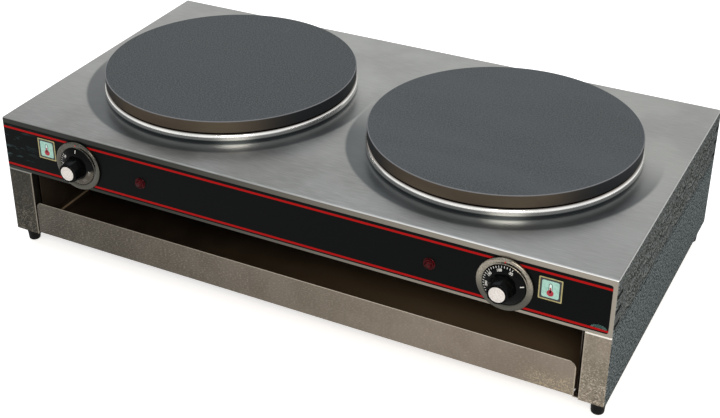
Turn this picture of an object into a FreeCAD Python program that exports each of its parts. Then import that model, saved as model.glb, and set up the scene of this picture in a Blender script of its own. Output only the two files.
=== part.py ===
"""Electric crepe maker with two round griddle plates over a pull-out tray.

The origin is the centre of the floor under the machine, +X is right seen from the knobs,
+Y runs to the back and +Z is up. Lengths are millimetres and angles are degrees.
"""
import FreeCAD, Part
import math
import os

from FreeCAD import Vector

# Casing of folded stainless sheet
CASE_W = 854.0
CASE_D = 458.0
FOOT_H = 25.0
FRAME_H = 98.0
BOX_H = 77.0
SHEET = 1.2
FOLD_R = 2.5
REAR_LIP = 14.0
LAP_GAP = 0.2

# Griddle plates and the rings they stand over
PLATE_R = 175.0
PLATE_T = 17.0
PLATE_LIFT = 13.0
PLATE_SPACING = 406.5
PLATE_EDGE = 0.8
PLATE_RIM = 14.0
RECESS_D = 5.0
BOSS_R = 10.0
RING_PROUD = 2.0
RING_TOP_GAP = 1.2
RING_ROLL = 5.0
RING_TOP_W = 7.0
RING_FOOT_W = 8.0
DECK_HOLE_CLEAR = 2.5

# Heating element, its clamp plate, the insulation and the pan below
ELEMENT_R = 4.0
ELEMENT_OUTER_R = 140.0
ELEMENT_INNER_R = 95.0
ELEMENT_START_ANGLE = 90.0
ELEMENT_SPAN_ANGLE = 330.0
ELEMENT_BEND = 12.0
ELEMENT_DROP = 54.0
PIN_R = 1.8
PIN_L = 8.0
CLAMP_R = 150.0
CLAMP_T = 3.0
PAN_FLANGE = 10.0
PAN_WALL_CLEAR = 2.0
PAN_DEPTH = 46.2
WOOL_CLEAR = 3.0
BEAD_R = 6.0
BEAD_FLANGE_R = 8.0
BEAD_FLANGE_T = 2.0
BEAD_L = 14.0
BEAD_CLEAR = 0.1
WELL_R = 12.0

# Studs that carry the plates, and the rails that carry the studs
STUD_R = 4.0
STUD_TURN_ANGLE = 60.0
STUD_IN = 8.0
STUD_TAIL = 4.0
STUD_CLEAR = 0.4
NUT_AF = 13.0
NUT_H = 6.5
NUT_BORE_CLEAR = 0.05
SLEEVE_R = 7.0
RAIL_W = 30.0
RAIL_T = 2.0
RAIL_END = 26.0

# Front overlay film
OVERLAY_LEFT_MARGIN = 1.8
OVERLAY_RIGHT_MARGIN = 5.8
OVERLAY_H = 65.0
OVERLAY_T = 0.4
OVERLAY_RISE = 4.0
OVERLAY_R = 3.0

# Knobs, bezels, spindles and thermostats
LEFT_KNOB_INSET = 124.6
RIGHT_KNOB_INSET = 129.4
KNOB_RISE = 34.0
BEZEL_R = 35.0
BEZEL_T = 4.0
BEZEL_EDGE = 1.6
DIAL_GAP = 0.6
DIAL_R = 26.4
DIAL_STAND = 3.0
DIAL_RIM = 1.5
DIAL_CONE = 2.5
GRIP_FACES = 8
GRIP_BASE_R = 17.5
GRIP_TIP_R = 12.6
GRIP_L = 19.0
GRIP_EDGE = 0.8
CAP_R = 10.5
CAP_SEAT = 1.5
CAP_PROUD = 1.0
CAP_CLEAR = 0.05
SPINDLE_R = 3.0
SPINDLE_CLEAR = 0.05
SPINDLE_OUT = 20.0
SPINDLE_IN = 14.0
SPINDLE_FLAT = 1.5
SPINDLE_FLAT_L = 13.0
THERMO_W = 34.0
THERMO_D = 20.0
THERMO_PLATE_W = 44.0
THERMO_PLATE_H = 30.0
THERMO_PLATE_T = 1.5
THERMO_BASE_W = 28.0
THERMO_BASE_D = 12.0
BLADE_W = 6.3
BLADE_T = 0.8
BLADE_L = 8.0
M4_R = 2.0
M4_HEAD_R = 3.8
M4_HEAD_H = 1.9
M4_CLEAR = 0.2
THERMO_SCREW_SPAN = 28.0
PANEL_HOLE_R = 5.0

# Sensing bulbs and their capillaries
CAPILLARY_R = 1.0
CAPILLARY_BEND = 4.0
BULB_L = 80.0
CAPILLARY_LEAD = 18.0
CAPILLARY_RISE = 21.0
CAPILLARY_STANDOFF = 14.0
CAPILLARY_OFFSET = 8.0
BULB_SHIFT = 16.0
CHANNEL_R = 3.2

# Pilot lamps
LEFT_LAMP_STEP = 97.8
RIGHT_LAMP_STEP = 94.0
LAMP_RISE = 32.5
LENS_R = 6.6
LENS_FLANGE_R = 7.6
LENS_FLANGE_T = 1.0
LENS_DOME = 4.5
LENS_NECK_R = 5.0
LENS_NECK_L = 8.0
LAMP_HOLE_CLEAR = 0.2
LAMP_BODY_R = 6.8
LAMP_BODY_L = 22.0

# Louvres of the side aprons
LOUVRE_COLUMNS = 6
LOUVRE_ROWS = 3
LOUVRE_L = 50.0
LOUVRE_H = 9.0
LOUVRE_PITCH = 66.0
LOUVRE_ROW_PITCH = 20.0
LOUVRE_TOP_DROP = 17.0
LOUVRE_OUT = 3.5
LOUVRE_LIP = 2.0
LOUVRE_END = 5.0
LOUVRE_WALL = 1.0

# Lower frame, tray runners and tray
LEFT_POST_W = 39.4
RIGHT_POST_W = 31.9
POST_RETURN = 12.0
REAR_POST_W = 20.0
TOP_FLANGE_W = 22.0
BOTTOM_FLANGE_W = 40.0
RUNNER_INSET = 39.0
RUNNER_SETBACK = 16.0
RUNNER_FLANGE_W = 12.0
RUNNER_RAIL_W = 16.0
PANEL_FLANGE_W = 12.0
SLIDE_GAP = 0.3
TRAY_SHEET = 1.0
TRAY_SIDE_GAP = 1.5
TRAY_WALL_H = 20.0
TRAY_STOP_GAP = 1.0
LIP_LEFT_GAP = 1.2
LIP_RIGHT_GAP = 5.8
LIP_H = 48.4
LIP_T = 1.2
LIP_SETBACK = 1.0
LIP_LEFT_R = 8.0
LIP_RIGHT_R = 10.0

# Feet
FOOT_SIDE_INSET = 12.5
FOOT_END_INSET = 20.0
FOOT_FLANGE_R = 12.0
FOOT_FLANGE_T = 3.0
FOOT_WAIST_R = 11.0
FOOT_TIP_R = 8.0
FOOT_ROUND = 2.5
FOOT_STUD_R = 3.0
FOOT_STUD_IN = 14.0
FOOT_NUT_AF = 10.0
FOOT_NUT_H = 5.0
FOOT_STUD_TAIL = 2.5

# Entry of the mains lead at the back
GLAND_INSET = 127.0
GLAND_RISE = 36.0
GLAND_BORE_R = 5.0
GLAND_THREAD_R = 10.0
GLAND_HEX_AF = 24.0
GLAND_HEX_T = 6.0
GLAND_DOME_L = 22.2
GLAND_MOUTH_R = 8.0
GLAND_INSIDE = 12.0
LOCKNUT_AF = 27.0
LOCKNUT_T = 5.0
EARTH_OFFSET = 48.0
EARTH_R = 3.0
EARTH_OUT = 16.0
EARTH_IN = 12.0
EARTH_NUT_AF = 10.0
EARTH_NUT_T = 5.0
BLOCK_L = 60.0
BLOCK_D = 28.0
BLOCK_H = 12.0
BLOCK_RIB_H = 9.0
BLOCK_RIB_T = 3.0
BLOCK_POLES = 4
BLOCK_SCREW_R = 3.0
BLOCK_BACK = 40.0

# Sleeved leads
SLEEVING_R = 3.0
LEAD_R = 2.0
LEAD_BEND = 14.0
LEAD_RISE = 6.0
LEAD_SIDE_GAP = 16.0
LEAD_BACK_GAP = 22.0

# Small screws
SHANK_L = 6.0
REAR_SCREW_INSET = 7.0
REAR_TOP_SCREWS = 5
REAR_SIDE_SCREWS = 2
FRAME_SCREWS = 4
RUNNER_SCREWS = 4

# Places that follow from the sizes above
X_SIDE = CASE_W / 2
X_INNER = X_SIDE - SHEET
SHEET_X = X_INNER - (FOLD_R - SHEET) - LAP_GAP
FRAME_Z = FOOT_H
BOX_Z = FRAME_Z + FRAME_H
DECK_Z = BOX_Z + BOX_H
DECK_UNDER = DECK_Z - SHEET
GRIP_Z = DIAL_STAND + DIAL_RIM + DIAL_CONE
GRIP_TOP = GRIP_Z + GRIP_L
KNOB_REACH = GRIP_TOP + CAP_PROUD
GLAND_REACH = GLAND_HEX_T + GLAND_DOME_L - SHEET
Y_MID = (KNOB_REACH - GLAND_REACH) / 2
Y_FRONT = Y_MID - CASE_D / 2
Y_BACK = Y_MID + CASE_D / 2
PANEL_IN = Y_FRONT + SHEET
REAR_OUT = Y_BACK - SHEET
REAR_IN = REAR_OUT - SHEET
FLOOR_TOP = BOX_Z + SHEET
KNOB_Z = BOX_Z + KNOB_RISE
LAMP_Z = BOX_Z + LAMP_RISE
PLATE_X = PLATE_SPACING / 2
RING_R = PLATE_R + RING_PROUD
PLATE_UNDER = DECK_Z + PLATE_LIFT
RECESS_Z = PLATE_UNDER + RECESS_D
ELEMENT_Z = RECESS_Z - ELEMENT_R
CLAMP_TOP = RECESS_Z - 2 * ELEMENT_R
CLAMP_UNDER = CLAMP_TOP - CLAMP_T
DECK_HOLE_R = RING_R - RING_FOOT_W - DECK_HOLE_CLEAR
PAN_R = DECK_HOLE_R - PAN_WALL_CLEAR
PAN_UNDER = DECK_UNDER - PAN_DEPTH
PAN_FLOOR = PAN_UNDER + SHEET
WOOL_R = PAN_R - SHEET - WOOL_CLEAR
STUD_CIRCLE = (ELEMENT_OUTER_R + ELEMENT_INNER_R) / 2
STUD_ANGLES = [ELEMENT_START_ANGLE + STUD_TURN_ANGLE + 120.0 * k for k in range(3)]
BOLT_TOP = CLAMP_TOP + STUD_IN
NUT_TOP = CLAMP_UNDER
SLEEVE_TOP = NUT_TOP - NUT_H
RAIL_TOP = PAN_UNDER
RAIL_UNDER = RAIL_TOP - RAIL_T
RUNNER_X = X_SIDE - RUNNER_INSET
TRAY_Z = FRAME_Z + 2 * SHEET + SLIDE_GAP
LIP_Y = Y_FRONT + LIP_SETBACK
RUNNER_Y = Y_FRONT + RUNNER_SETBACK
LOWER_FLANGE_Y = REAR_IN - PANEL_FLANGE_W
TRAY_BACK = LOWER_FLANGE_Y - TRAY_STOP_GAP
TRAY_X = RUNNER_X - TRAY_SIDE_GAP
GLAND_X = X_SIDE - GLAND_INSET
GLAND_Z = BOX_Z + GLAND_RISE

SIDES = (("left", -1), ("right", 1))
KNOB_X = {"left": LEFT_KNOB_INSET - X_SIDE, "right": X_SIDE - RIGHT_KNOB_INSET}
LAMP_X = {"left": KNOB_X["left"] + LEFT_LAMP_STEP, "right": KNOB_X["right"] - RIGHT_LAMP_STEP}
POST_W = {"left": LEFT_POST_W, "right": RIGHT_POST_W}
UP = Vector(0, 0, 1)
BACKWARD = Vector(0, 1, 0)


def save(node, shape):
    """Write one sub-part to its own file."""
    shape.exportStep("parts/" + node + ".step")


def box(x, y, z):
    """Block between two corners, each argument a pair of coordinates in any order."""
    low = Vector(min(x), min(y), min(z))
    return Part.makeBox(abs(x[1] - x[0]), abs(y[1] - y[0]), abs(z[1] - z[0]), low)


def rod(radius, start, axis, length):
    return Part.makeCylinder(radius, length, start, axis)


def turned(points, centre=Vector(0, 0, 0)):
    """Solid of revolution about +Z from (radius, height) points."""
    outline = [Vector(r, 0, z) for r, z in points]
    outline.append(outline[0])
    solid = Part.Face(Part.makePolygon(outline)).revolve(Vector(0, 0, 0), UP, 360)
    solid.translate(centre)
    return solid


def hexagon(across_flats, height, centre):
    """Hexagonal prism that stands on its centre, along +Z."""
    corner = across_flats / math.sqrt(3)
    points = [Vector(corner, 0, 0)]
    for k in range(1, 7):
        angle = math.radians(60 * k)
        points.append(Vector(corner * math.cos(angle), corner * math.sin(angle), 0))
    prism = Part.Face(Part.makePolygon(points)).extrude(UP * height)
    prism.translate(centre)
    return prism


def to_front(shape, x, z):
    """Stand a piece, made along +Z, on the front apron at x, z."""
    shape.rotate(Vector(0, 0, 0), Vector(1, 0, 0), 90)
    shape.translate(Vector(x, Y_FRONT, z))
    return shape


def to_back(shape, x, z):
    """Stand a piece, made along +Z, on the rear panel at x, z."""
    shape.rotate(Vector(0, 0, 0), Vector(1, 0, 0), -90)
    shape.translate(Vector(x, REAR_OUT, z))
    return shape


def rounded(shape, radius, picks):
    """Round the edges whose midpoint and direction the test picks."""
    chosen = []
    for edge in shape.Edges:
        if picks(edge.CenterOfMass, edge.tangentAt(edge.FirstParameter)):
            chosen.append(edge)
    return shape.makeFillet(radius, chosen)


def polar(centre, radius, angle, z):
    turn = math.radians(angle)
    return Vector(centre + radius * math.cos(turn), Y_MID + radius * math.sin(turn), z)


def bent_path(points, bend):
    """Straight runs joined by tangent arcs, each as wide as its runs allow."""
    edges = []
    at = points[0]
    for before, corner, after in zip(points, points[1:], points[2:]):
        back = (before - corner).normalize()
        ahead = (after - corner).normalize()
        half_turn = (math.pi - back.getAngle(ahead)) / 2
        shorter = min((before - corner).Length, (after - corner).Length)
        radius = min(bend, 0.45 * shorter / math.tan(half_turn))
        reach = radius * math.tan(half_turn)
        inward = (back + ahead).normalize()
        start = corner + back * reach
        end = corner + ahead * reach
        middle = corner + inward * (radius / math.cos(half_turn) - radius)
        edges.append(Part.LineSegment(at, start).toShape())
        edges.append(Part.Arc(start, middle, end).toShape())
        at = end
    edges.append(Part.LineSegment(at, points[-1]).toShape())
    return Part.Wire(edges)


def swept(path, radius):
    """Round bar along a path."""
    first = path.OrderedEdges[0]
    start = first.valueAt(first.FirstParameter)
    profile = Part.Wire(Part.makeCircle(radius, start, first.tangentAt(first.FirstParameter)))
    return path.makePipeShell([profile], True, False)


def tube(points, radius, bend):
    return swept(bent_path(points, bend), radius)


def casing_block(x, y, z, inset, open_bottom):
    """Folded-sheet outer form, or its inner face when inset is the sheet's thickness."""
    bottom = z[0] - inset if open_bottom else z[0] + inset
    block = box((x[0] + inset, x[1] - inset), (y[0] + inset, y[1] - inset), (bottom, z[1] - inset))
    top = z[1] - inset
    upright = lambda middle, way: abs(way.z) > 0.9
    level = lambda middle, way: abs(middle.z - top) < 0.01
    return rounded(block, FOLD_R - inset, lambda m, w: upright(m, w) or level(m, w))


def louvre_places():
    """Middle of each louvre of one side, as (y, z)."""
    first = Y_MID - (LOUVRE_COLUMNS - 1) * LOUVRE_PITCH / 2
    places = []
    for column in range(LOUVRE_COLUMNS):
        for row in range(LOUVRE_ROWS):
            z = DECK_Z - LOUVRE_TOP_DROP - row * LOUVRE_ROW_PITCH
            places.append((first + column * LOUVRE_PITCH, z))
    return places


def side_rectangle(x, y, z):
    corners = [Vector(x, y[0], z[0]), Vector(x, y[1], z[0]), Vector(x, y[1], z[1])]
    corners.append(Vector(x, y[0], z[1]))
    corners.append(corners[0])
    return Part.makePolygon(corners)


def louvre(side, y, z):
    """A pressed hood, open below, and the cut that hollows it and pierces the sheet."""
    x = side * X_SIDE
    half = LOUVRE_L / 2
    low = z - LOUVRE_H / 2
    tip_half = half - LOUVRE_END
    base = side_rectangle(x, (y - half, y + half), (low, low + LOUVRE_H))
    tip = side_rectangle(x + side * LOUVRE_OUT, (y - tip_half, y + tip_half), (low, low + LOUVRE_LIP))
    hood = Part.makeLoft([base, tip], True, True)
    wall = LOUVRE_WALL
    inner_y = (y - half + wall, y + half - wall)
    tip_y = (y - tip_half + wall, y + tip_half - wall)
    inner_base = side_rectangle(x, inner_y, (low - wall, low + LOUVRE_H - wall))
    tip_x = x + side * (LOUVRE_OUT - wall)
    inner_tip = side_rectangle(tip_x, tip_y, (low - wall, low + LOUVRE_LIP))
    hollow = Part.makeLoft([inner_base, inner_tip], True, True)
    slot = box((x - side * 2 * SHEET, x), inner_y, (low, low + LOUVRE_H - wall))
    return hood, hollow, slot


def upper_housing():
    """Deck, front apron and louvred side aprons folded from one sheet, open below."""
    x = (-X_SIDE, X_SIDE)
    y = (Y_FRONT, Y_BACK)
    z = (BOX_Z, DECK_Z)
    shell = casing_block(x, y, z, 0, True).cut(casing_block(x, y, z, SHEET, True))
    window = box((-X_SIDE + REAR_LIP, X_SIDE - REAR_LIP), (REAR_IN, Y_BACK + SHEET),
                 (BOX_Z - SHEET, DECK_Z - REAR_LIP))
    cuts = [window]
    for name, side in SIDES:
        cuts.append(rod(DECK_HOLE_R, Vector(side * PLATE_X, Y_MID, DECK_UNDER - SHEET), UP, 3 * SHEET))
        cuts.append(front_hole(KNOB_X[name], KNOB_Z, PANEL_HOLE_R))
        cuts.append(front_hole(LAMP_X[name], LAMP_Z, LENS_NECK_R + LAMP_HOLE_CLEAR))
        for screw_x in thermostat_screw_places(name):
            cuts.append(front_hole(screw_x, KNOB_Z, M4_R + M4_CLEAR))
    for x_screw, z_screw in upper_screw_places():
        start = Vector(x_screw, REAR_OUT - SHEET, z_screw)
        cuts.append(rod(M4_R + M4_CLEAR, start, BACKWARD, 3 * SHEET))
    hoods = []
    for name, side in SIDES:
        for y_mid, z_mid in louvre_places():
            hood, hollow, slot = louvre(side, y_mid, z_mid)
            hoods.append(hood)
            cuts.append(hollow)
            cuts.append(slot)
    return shell.fuse(hoods).cut(cuts).removeSplitter()


def front_hole(x, z, radius):
    """Hole through the front apron and whatever lies on it."""
    return rod(radius, Vector(x, Y_FRONT - SHEET, z), BACKWARD, 3 * SHEET)


def thermostat_screw_places(name):
    return (KNOB_X[name] - THERMO_SCREW_SPAN / 2, KNOB_X[name] + THERMO_SCREW_SPAN / 2)


def upper_screw_places():
    """Screws that hold the rear panel to the housing's rear lips, as (x, z)."""
    edge = X_SIDE - REAR_SCREW_INSET
    places = []
    for k in range(REAR_TOP_SCREWS):
        x = -edge + 2 * edge * (k + 0.5) / REAR_TOP_SCREWS
        places.append((x, DECK_Z - REAR_SCREW_INSET))
    for k in range(REAR_SIDE_SCREWS):
        z = BOX_Z + (BOX_H - REAR_LIP) * (k + 0.5) / REAR_SIDE_SCREWS
        places.append((-edge, z))
        places.append((edge, z))
    return places


def lower_screw_places():
    """Screws that hold the lower rear panel to the rear posts, as (x, z)."""
    edge = X_SIDE - REAR_POST_W / 2
    places = []
    for k in range(REAR_SIDE_SCREWS):
        z = FRAME_Z + FRAME_H * (k + 0.5) / REAR_SIDE_SCREWS
        places.append((-edge, z))
        places.append((edge, z))
    return places


def rear_panel():
    """Sheet that closes the upper box behind the housing's rear lips."""
    z = (FLOOR_TOP, DECK_UNDER - (FOLD_R - SHEET) - LAP_GAP)
    panel = box((-SHEET_X, SHEET_X), (REAR_IN, REAR_OUT), z)
    cuts = []
    for x_screw, z_screw in upper_screw_places():
        cuts.append(rod(M4_R, Vector(x_screw, REAR_IN - SHEET, z_screw), BACKWARD, 3 * SHEET))
    cuts.append(rod(GLAND_THREAD_R, Vector(GLAND_X, REAR_IN - SHEET, GLAND_Z), BACKWARD, 3 * SHEET))
    earth = Vector(GLAND_X - EARTH_OFFSET, REAR_IN - SHEET, GLAND_Z)
    cuts.append(rod(EARTH_R, earth, BACKWARD, 3 * SHEET))
    return panel.cut(cuts)


def frame_screw_places():
    """Screws between the side frames' top flanges and the base plate, as (x, y)."""
    return screw_row(X_SIDE - TOP_FLANGE_W / 2, FRAME_SCREWS)


def runner_screw_places():
    """Screws between the runners' top flanges and the base plate, as (x, y)."""
    return screw_row(RUNNER_X + SHEET + RUNNER_FLANGE_W / 2, RUNNER_SCREWS)


def screw_row(x, count):
    places = []
    for name, side in SIDES:
        for k in range(count):
            y = RUNNER_Y + (REAR_IN - RUNNER_Y) * (k + 0.5) / count
            places.append((side * x, y))
    return places


def base_plate():
    """Bottom of the upper box and ceiling of the compartment."""
    plate = box((-SHEET_X, SHEET_X), (PANEL_IN + LAP_GAP, REAR_OUT), (BOX_Z, FLOOR_TOP))
    cuts = []
    for x_screw, y_screw in frame_screw_places() + runner_screw_places():
        cuts.append(rod(M4_R, Vector(x_screw, y_screw, BOX_Z - SHEET), UP, 3 * SHEET))
    return plate.cut(cuts)


def side_frame(name, side):
    """Lower side panel folded into a front post, a rear post and two flanges."""
    post = X_SIDE - POST_W[name]
    y = (Y_FRONT, Y_BACK)
    z = (FRAME_Z, BOX_Z)
    shell = folded_side(side, post, y, z)
    floor_edge = X_SIDE - BOTTOM_FLANGE_W
    flange = box((side * floor_edge, side * (X_SIDE - FOLD_R)),
                 (Y_FRONT + FOLD_R, Y_BACK - FOLD_R), (FRAME_Z, FRAME_Z + SHEET))
    shell = shell.fuse(flange)
    cuts = []
    for foot_x, foot_y in foot_places():
        cuts.append(rod(FOOT_STUD_R, Vector(foot_x, foot_y, FRAME_Z - SHEET), UP, 3 * SHEET))
    for x_screw, y_screw in frame_screw_places():
        cuts.append(rod(M4_R + M4_CLEAR, Vector(x_screw, y_screw, BOX_Z - 2 * SHEET), UP, 3 * SHEET))
    for x_screw, z_screw in lower_screw_places():
        start = Vector(x_screw, REAR_OUT - SHEET, z_screw)
        cuts.append(rod(M4_R + M4_CLEAR, start, BACKWARD, 3 * SHEET))
    return shell.cut(cuts).removeSplitter()


def folded_side(side, post, y, z):
    """Hollow block without its inner wall, save the return of the front post."""
    outer_x = (post, X_SIDE)
    block = box((side * outer_x[0], side * outer_x[1]), y, z)
    outside = lambda m, w: abs(m.x - side * X_SIDE) < 0.01 and (abs(w.z) > 0.9 or abs(m.z - z[1]) < 0.01)
    front_top = lambda m, w: abs(m.y - y[0]) < 0.01 and abs(m.z - z[1]) < 0.01
    block = rounded(block, FOLD_R, lambda m, w: outside(m, w) or front_top(m, w))
    hollow = box((side * (post + SHEET), side * (X_SIDE - SHEET)), (y[0] + SHEET, y[1] - SHEET),
                 (z[0] + SHEET, z[1] - SHEET))
    inner = FOLD_R - SHEET
    hollow = rounded(hollow, inner, lambda m, w: abs(m.x - side * (X_SIDE - SHEET)) < 0.01 and abs(w.z) > 0.9)
    way_in = box((side * (post - SHEET), side * (post + 2 * SHEET)),
                 (y[0] + POST_RETURN, y[1] + SHEET), (z[0] + SHEET, z[1] - SHEET))
    top_way = box((side * (post - SHEET), side * (X_SIDE - TOP_FLANGE_W)),
                  (y[0] + POST_RETURN, y[1] + SHEET), (z[1] - 2 * SHEET, z[1] + SHEET))
    rear_way = box((side * (post - SHEET), side * (X_SIDE - REAR_POST_W)),
                   (REAR_IN, y[1] + SHEET), (z[0] - SHEET, z[1] + SHEET))
    return block.cut([hollow, way_in, top_way, rear_way])


def lower_rear_panel():
    """Back wall of the compartment, flanged forward at its top and bottom."""
    z = (FRAME_Z + SHEET, BOX_Z - SHEET)
    flange_x = X_SIDE - BOTTOM_FLANGE_W - LAP_GAP
    wall = box((-SHEET_X, SHEET_X), (REAR_IN, REAR_OUT), z)
    top = box((-flange_x, flange_x), (LOWER_FLANGE_Y, REAR_OUT), (BOX_Z - SHEET, BOX_Z))
    low = box((-flange_x, flange_x), (LOWER_FLANGE_Y, REAR_OUT), (FRAME_Z, FRAME_Z + SHEET))
    cuts = []
    for x_screw, z_screw in lower_screw_places():
        cuts.append(rod(M4_R, Vector(x_screw, REAR_IN - SHEET, z_screw), BACKWARD, 3 * SHEET))
    return wall.fuse([top, low]).cut(cuts).removeSplitter()


def tray_runner(side):
    """Inner wall of the compartment with a rail below and a fixing flange above."""
    y = (RUNNER_Y, REAR_IN)
    low = FRAME_Z + SHEET
    wall = box((side * RUNNER_X, side * (RUNNER_X + SHEET)), y, (low, BOX_Z))
    rail = box((side * (RUNNER_X - RUNNER_RAIL_W), side * RUNNER_X), (y[0], LOWER_FLANGE_Y),
               (low, low + SHEET))
    flange = box((side * (RUNNER_X + SHEET), side * (RUNNER_X + SHEET + RUNNER_FLANGE_W)), y,
                 (BOX_Z - SHEET, BOX_Z))
    cuts = []
    for x_screw, y_screw in runner_screw_places():
        cuts.append(rod(M4_R + M4_CLEAR, Vector(x_screw, y_screw, BOX_Z - 2 * SHEET), UP, 3 * SHEET))
    return wall.fuse([rail, flange]).cut(cuts).removeSplitter()


def control_overlay():
    """Printed film on the front apron, with round cut-outs at the knobs and lamps."""
    low = BOX_Z + OVERLAY_RISE
    x = (-X_SIDE + OVERLAY_LEFT_MARGIN, X_SIDE - OVERLAY_RIGHT_MARGIN)
    film = box(x, (Y_FRONT - OVERLAY_T, Y_FRONT), (low, low + OVERLAY_H))
    film = rounded(film, OVERLAY_R, lambda m, w: abs(w.y) > 0.9)
    cuts = []
    for name, side in SIDES:
        cuts.append(front_hole(KNOB_X[name], KNOB_Z, DIAL_R - BEZEL_T))
        cuts.append(front_hole(LAMP_X[name], LAMP_Z, LENS_NECK_R + LAMP_HOLE_CLEAR))
    return film.cut(cuts)


def bezel(name):
    """Bevelled ring on the overlay, round the knob's dial."""
    inner = DIAL_R + DIAL_GAP
    low = OVERLAY_T
    top = OVERLAY_T + BEZEL_T
    points = [(inner, low), (BEZEL_R, low), (BEZEL_R, top - BEZEL_EDGE), (BEZEL_R - BEZEL_EDGE, top)]
    points.append((inner + BEZEL_EDGE / 3, top))
    points.append((inner, top - BEZEL_EDGE / 3))
    return to_front(turned(points), KNOB_X[name], KNOB_Z)


def octagon(radius, z):
    """Outline of the knob's grip at one height."""
    points = []
    for k in range(GRIP_FACES + 1):
        turn = 2 * math.pi * (k + 0.5) / GRIP_FACES
        points.append(Vector(radius * math.cos(turn), radius * math.sin(turn), z))
    return Part.makePolygon(points)


def knob(name):
    """Dial skirt and faceted grip in one moulding, bored for the spindle and the cap."""
    edge_z = DIAL_STAND + DIAL_RIM
    dial = turned([(0, DIAL_STAND), (DIAL_R, DIAL_STAND), (DIAL_R, edge_z), (GRIP_BASE_R, GRIP_Z),
                   (0, GRIP_Z)])
    tip = GRIP_TIP_R / math.cos(math.pi / GRIP_FACES)
    faceted = Part.makeLoft([octagon(GRIP_BASE_R, GRIP_Z), octagon(tip, GRIP_TOP)], True, True)
    round_tip = [(0, GRIP_Z), (GRIP_BASE_R + GRIP_EDGE, GRIP_Z),
                 (GRIP_TIP_R + GRIP_EDGE / 2, GRIP_TOP - GRIP_EDGE),
                 (GRIP_TIP_R - GRIP_EDGE / 2, GRIP_TOP), (0, GRIP_TOP)]
    grip = faceted.common(turned(round_tip))
    seat = rod(CAP_R + CAP_CLEAR, Vector(0, 0, GRIP_TOP - CAP_SEAT), UP, 2 * CAP_SEAT)
    body = dial.fuse(grip).cut([seat, spindle_form(SPINDLE_CLEAR)]).removeSplitter()
    return to_front(body, KNOB_X[name], KNOB_Z)


def spindle_form(extra):
    """Spindle with a flat at its outer end, in the knob's own frame."""
    low = -SHEET - THERMO_PLATE_T - SPINDLE_IN
    bar = rod(SPINDLE_R + extra, Vector(0, 0, low), UP, SPINDLE_OUT + extra - low)
    flat_y = SPINDLE_R - SPINDLE_FLAT + extra
    flat = box((-2 * SPINDLE_R, 2 * SPINDLE_R), (flat_y, 2 * SPINDLE_R),
               (SPINDLE_OUT - SPINDLE_FLAT_L, SPINDLE_OUT + 2 * SPINDLE_R))
    return bar.cut(flat)


def spindle(name):
    return to_front(spindle_form(0), KNOB_X[name], KNOB_Z)


def knob_cap(name):
    """White disc with a low crown, seated in the end of the grip."""
    low = GRIP_TOP - CAP_SEAT
    crown = CAP_PROUD / 2
    cap = turned([(0, low), (CAP_R, low), (CAP_R, GRIP_TOP), (CAP_R - crown, GRIP_TOP + crown),
                  (CAP_R - 3 * crown, KNOB_REACH), (0, KNOB_REACH)])
    return to_front(cap, KNOB_X[name], KNOB_Z)


def thermostat(name):
    """Capillary thermostat: mounting plate, metal case and moulded base with two blades."""
    x = KNOB_X[name]
    y = PANEL_IN
    plate = centred_block(x, KNOB_Z, THERMO_PLATE_W, THERMO_PLATE_H, y, THERMO_PLATE_T)
    y += THERMO_PLATE_T
    case = centred_block(x, KNOB_Z, THERMO_W, THERMO_W, y, THERMO_D)
    case = rounded(case, FOLD_R, lambda m, w: abs(w.y) > 0.9)
    y += THERMO_D
    base = centred_block(x, KNOB_Z, THERMO_BASE_W, THERMO_BASE_W, y, THERMO_BASE_D)
    y += THERMO_BASE_D
    blades = []
    for side in (-1, 1):
        blades.append(centred_block(x + side * THERMO_BASE_W / 4, KNOB_Z, BLADE_T, BLADE_W, y, BLADE_L))
    bore = rod(SPINDLE_R + SPINDLE_CLEAR, Vector(x, PANEL_IN - SHEET, KNOB_Z), BACKWARD,
               SHEET + THERMO_PLATE_T + SPINDLE_IN + SPINDLE_CLEAR)
    cuts = [bore]
    for screw_x in thermostat_screw_places(name):
        cuts.append(rod(M4_R, Vector(screw_x, PANEL_IN - SHEET, KNOB_Z), BACKWARD, SHANK_L + SHEET))
    return plate.fuse([case, base] + blades).cut(cuts).removeSplitter()


def centred_block(x, z, width, height, y, depth):
    return box((x - width / 2, x + width / 2), (y, y + depth), (z - height / 2, z + height / 2))


def thermostat_screws():
    """Two screws for each thermostat, behind the knob's skirt."""
    screws = []
    for name, side in SIDES:
        for x in thermostat_screw_places(name):
            head = rod(M4_HEAD_R, Vector(0, 0, 0), UP, M4_HEAD_H)
            shank = rod(M4_R, Vector(0, 0, -SHANK_L), UP, SHANK_L)
            screws.append(to_front(head.fuse(shank).removeSplitter(), x, KNOB_Z))
    return Part.makeCompound(screws)


def lamp_lens(name):
    """Red lens with a flange, a faceted dome and a neck through the apron."""
    low = OVERLAY_T
    rim = low + LENS_FLANGE_T
    facet = LENS_DOME / 3
    lens = turned([(0, -LENS_NECK_L), (LENS_NECK_R, -LENS_NECK_L), (LENS_NECK_R, low),
                   (LENS_FLANGE_R, low), (LENS_FLANGE_R, rim), (LENS_R, rim), (LENS_R, rim + facet),
                   (LENS_R - facet / 2, rim + 2 * facet), (LENS_R / 2, rim + LENS_DOME),
                   (0, rim + LENS_DOME)])
    return to_front(lens, LAMP_X[name], LAMP_Z)


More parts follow.
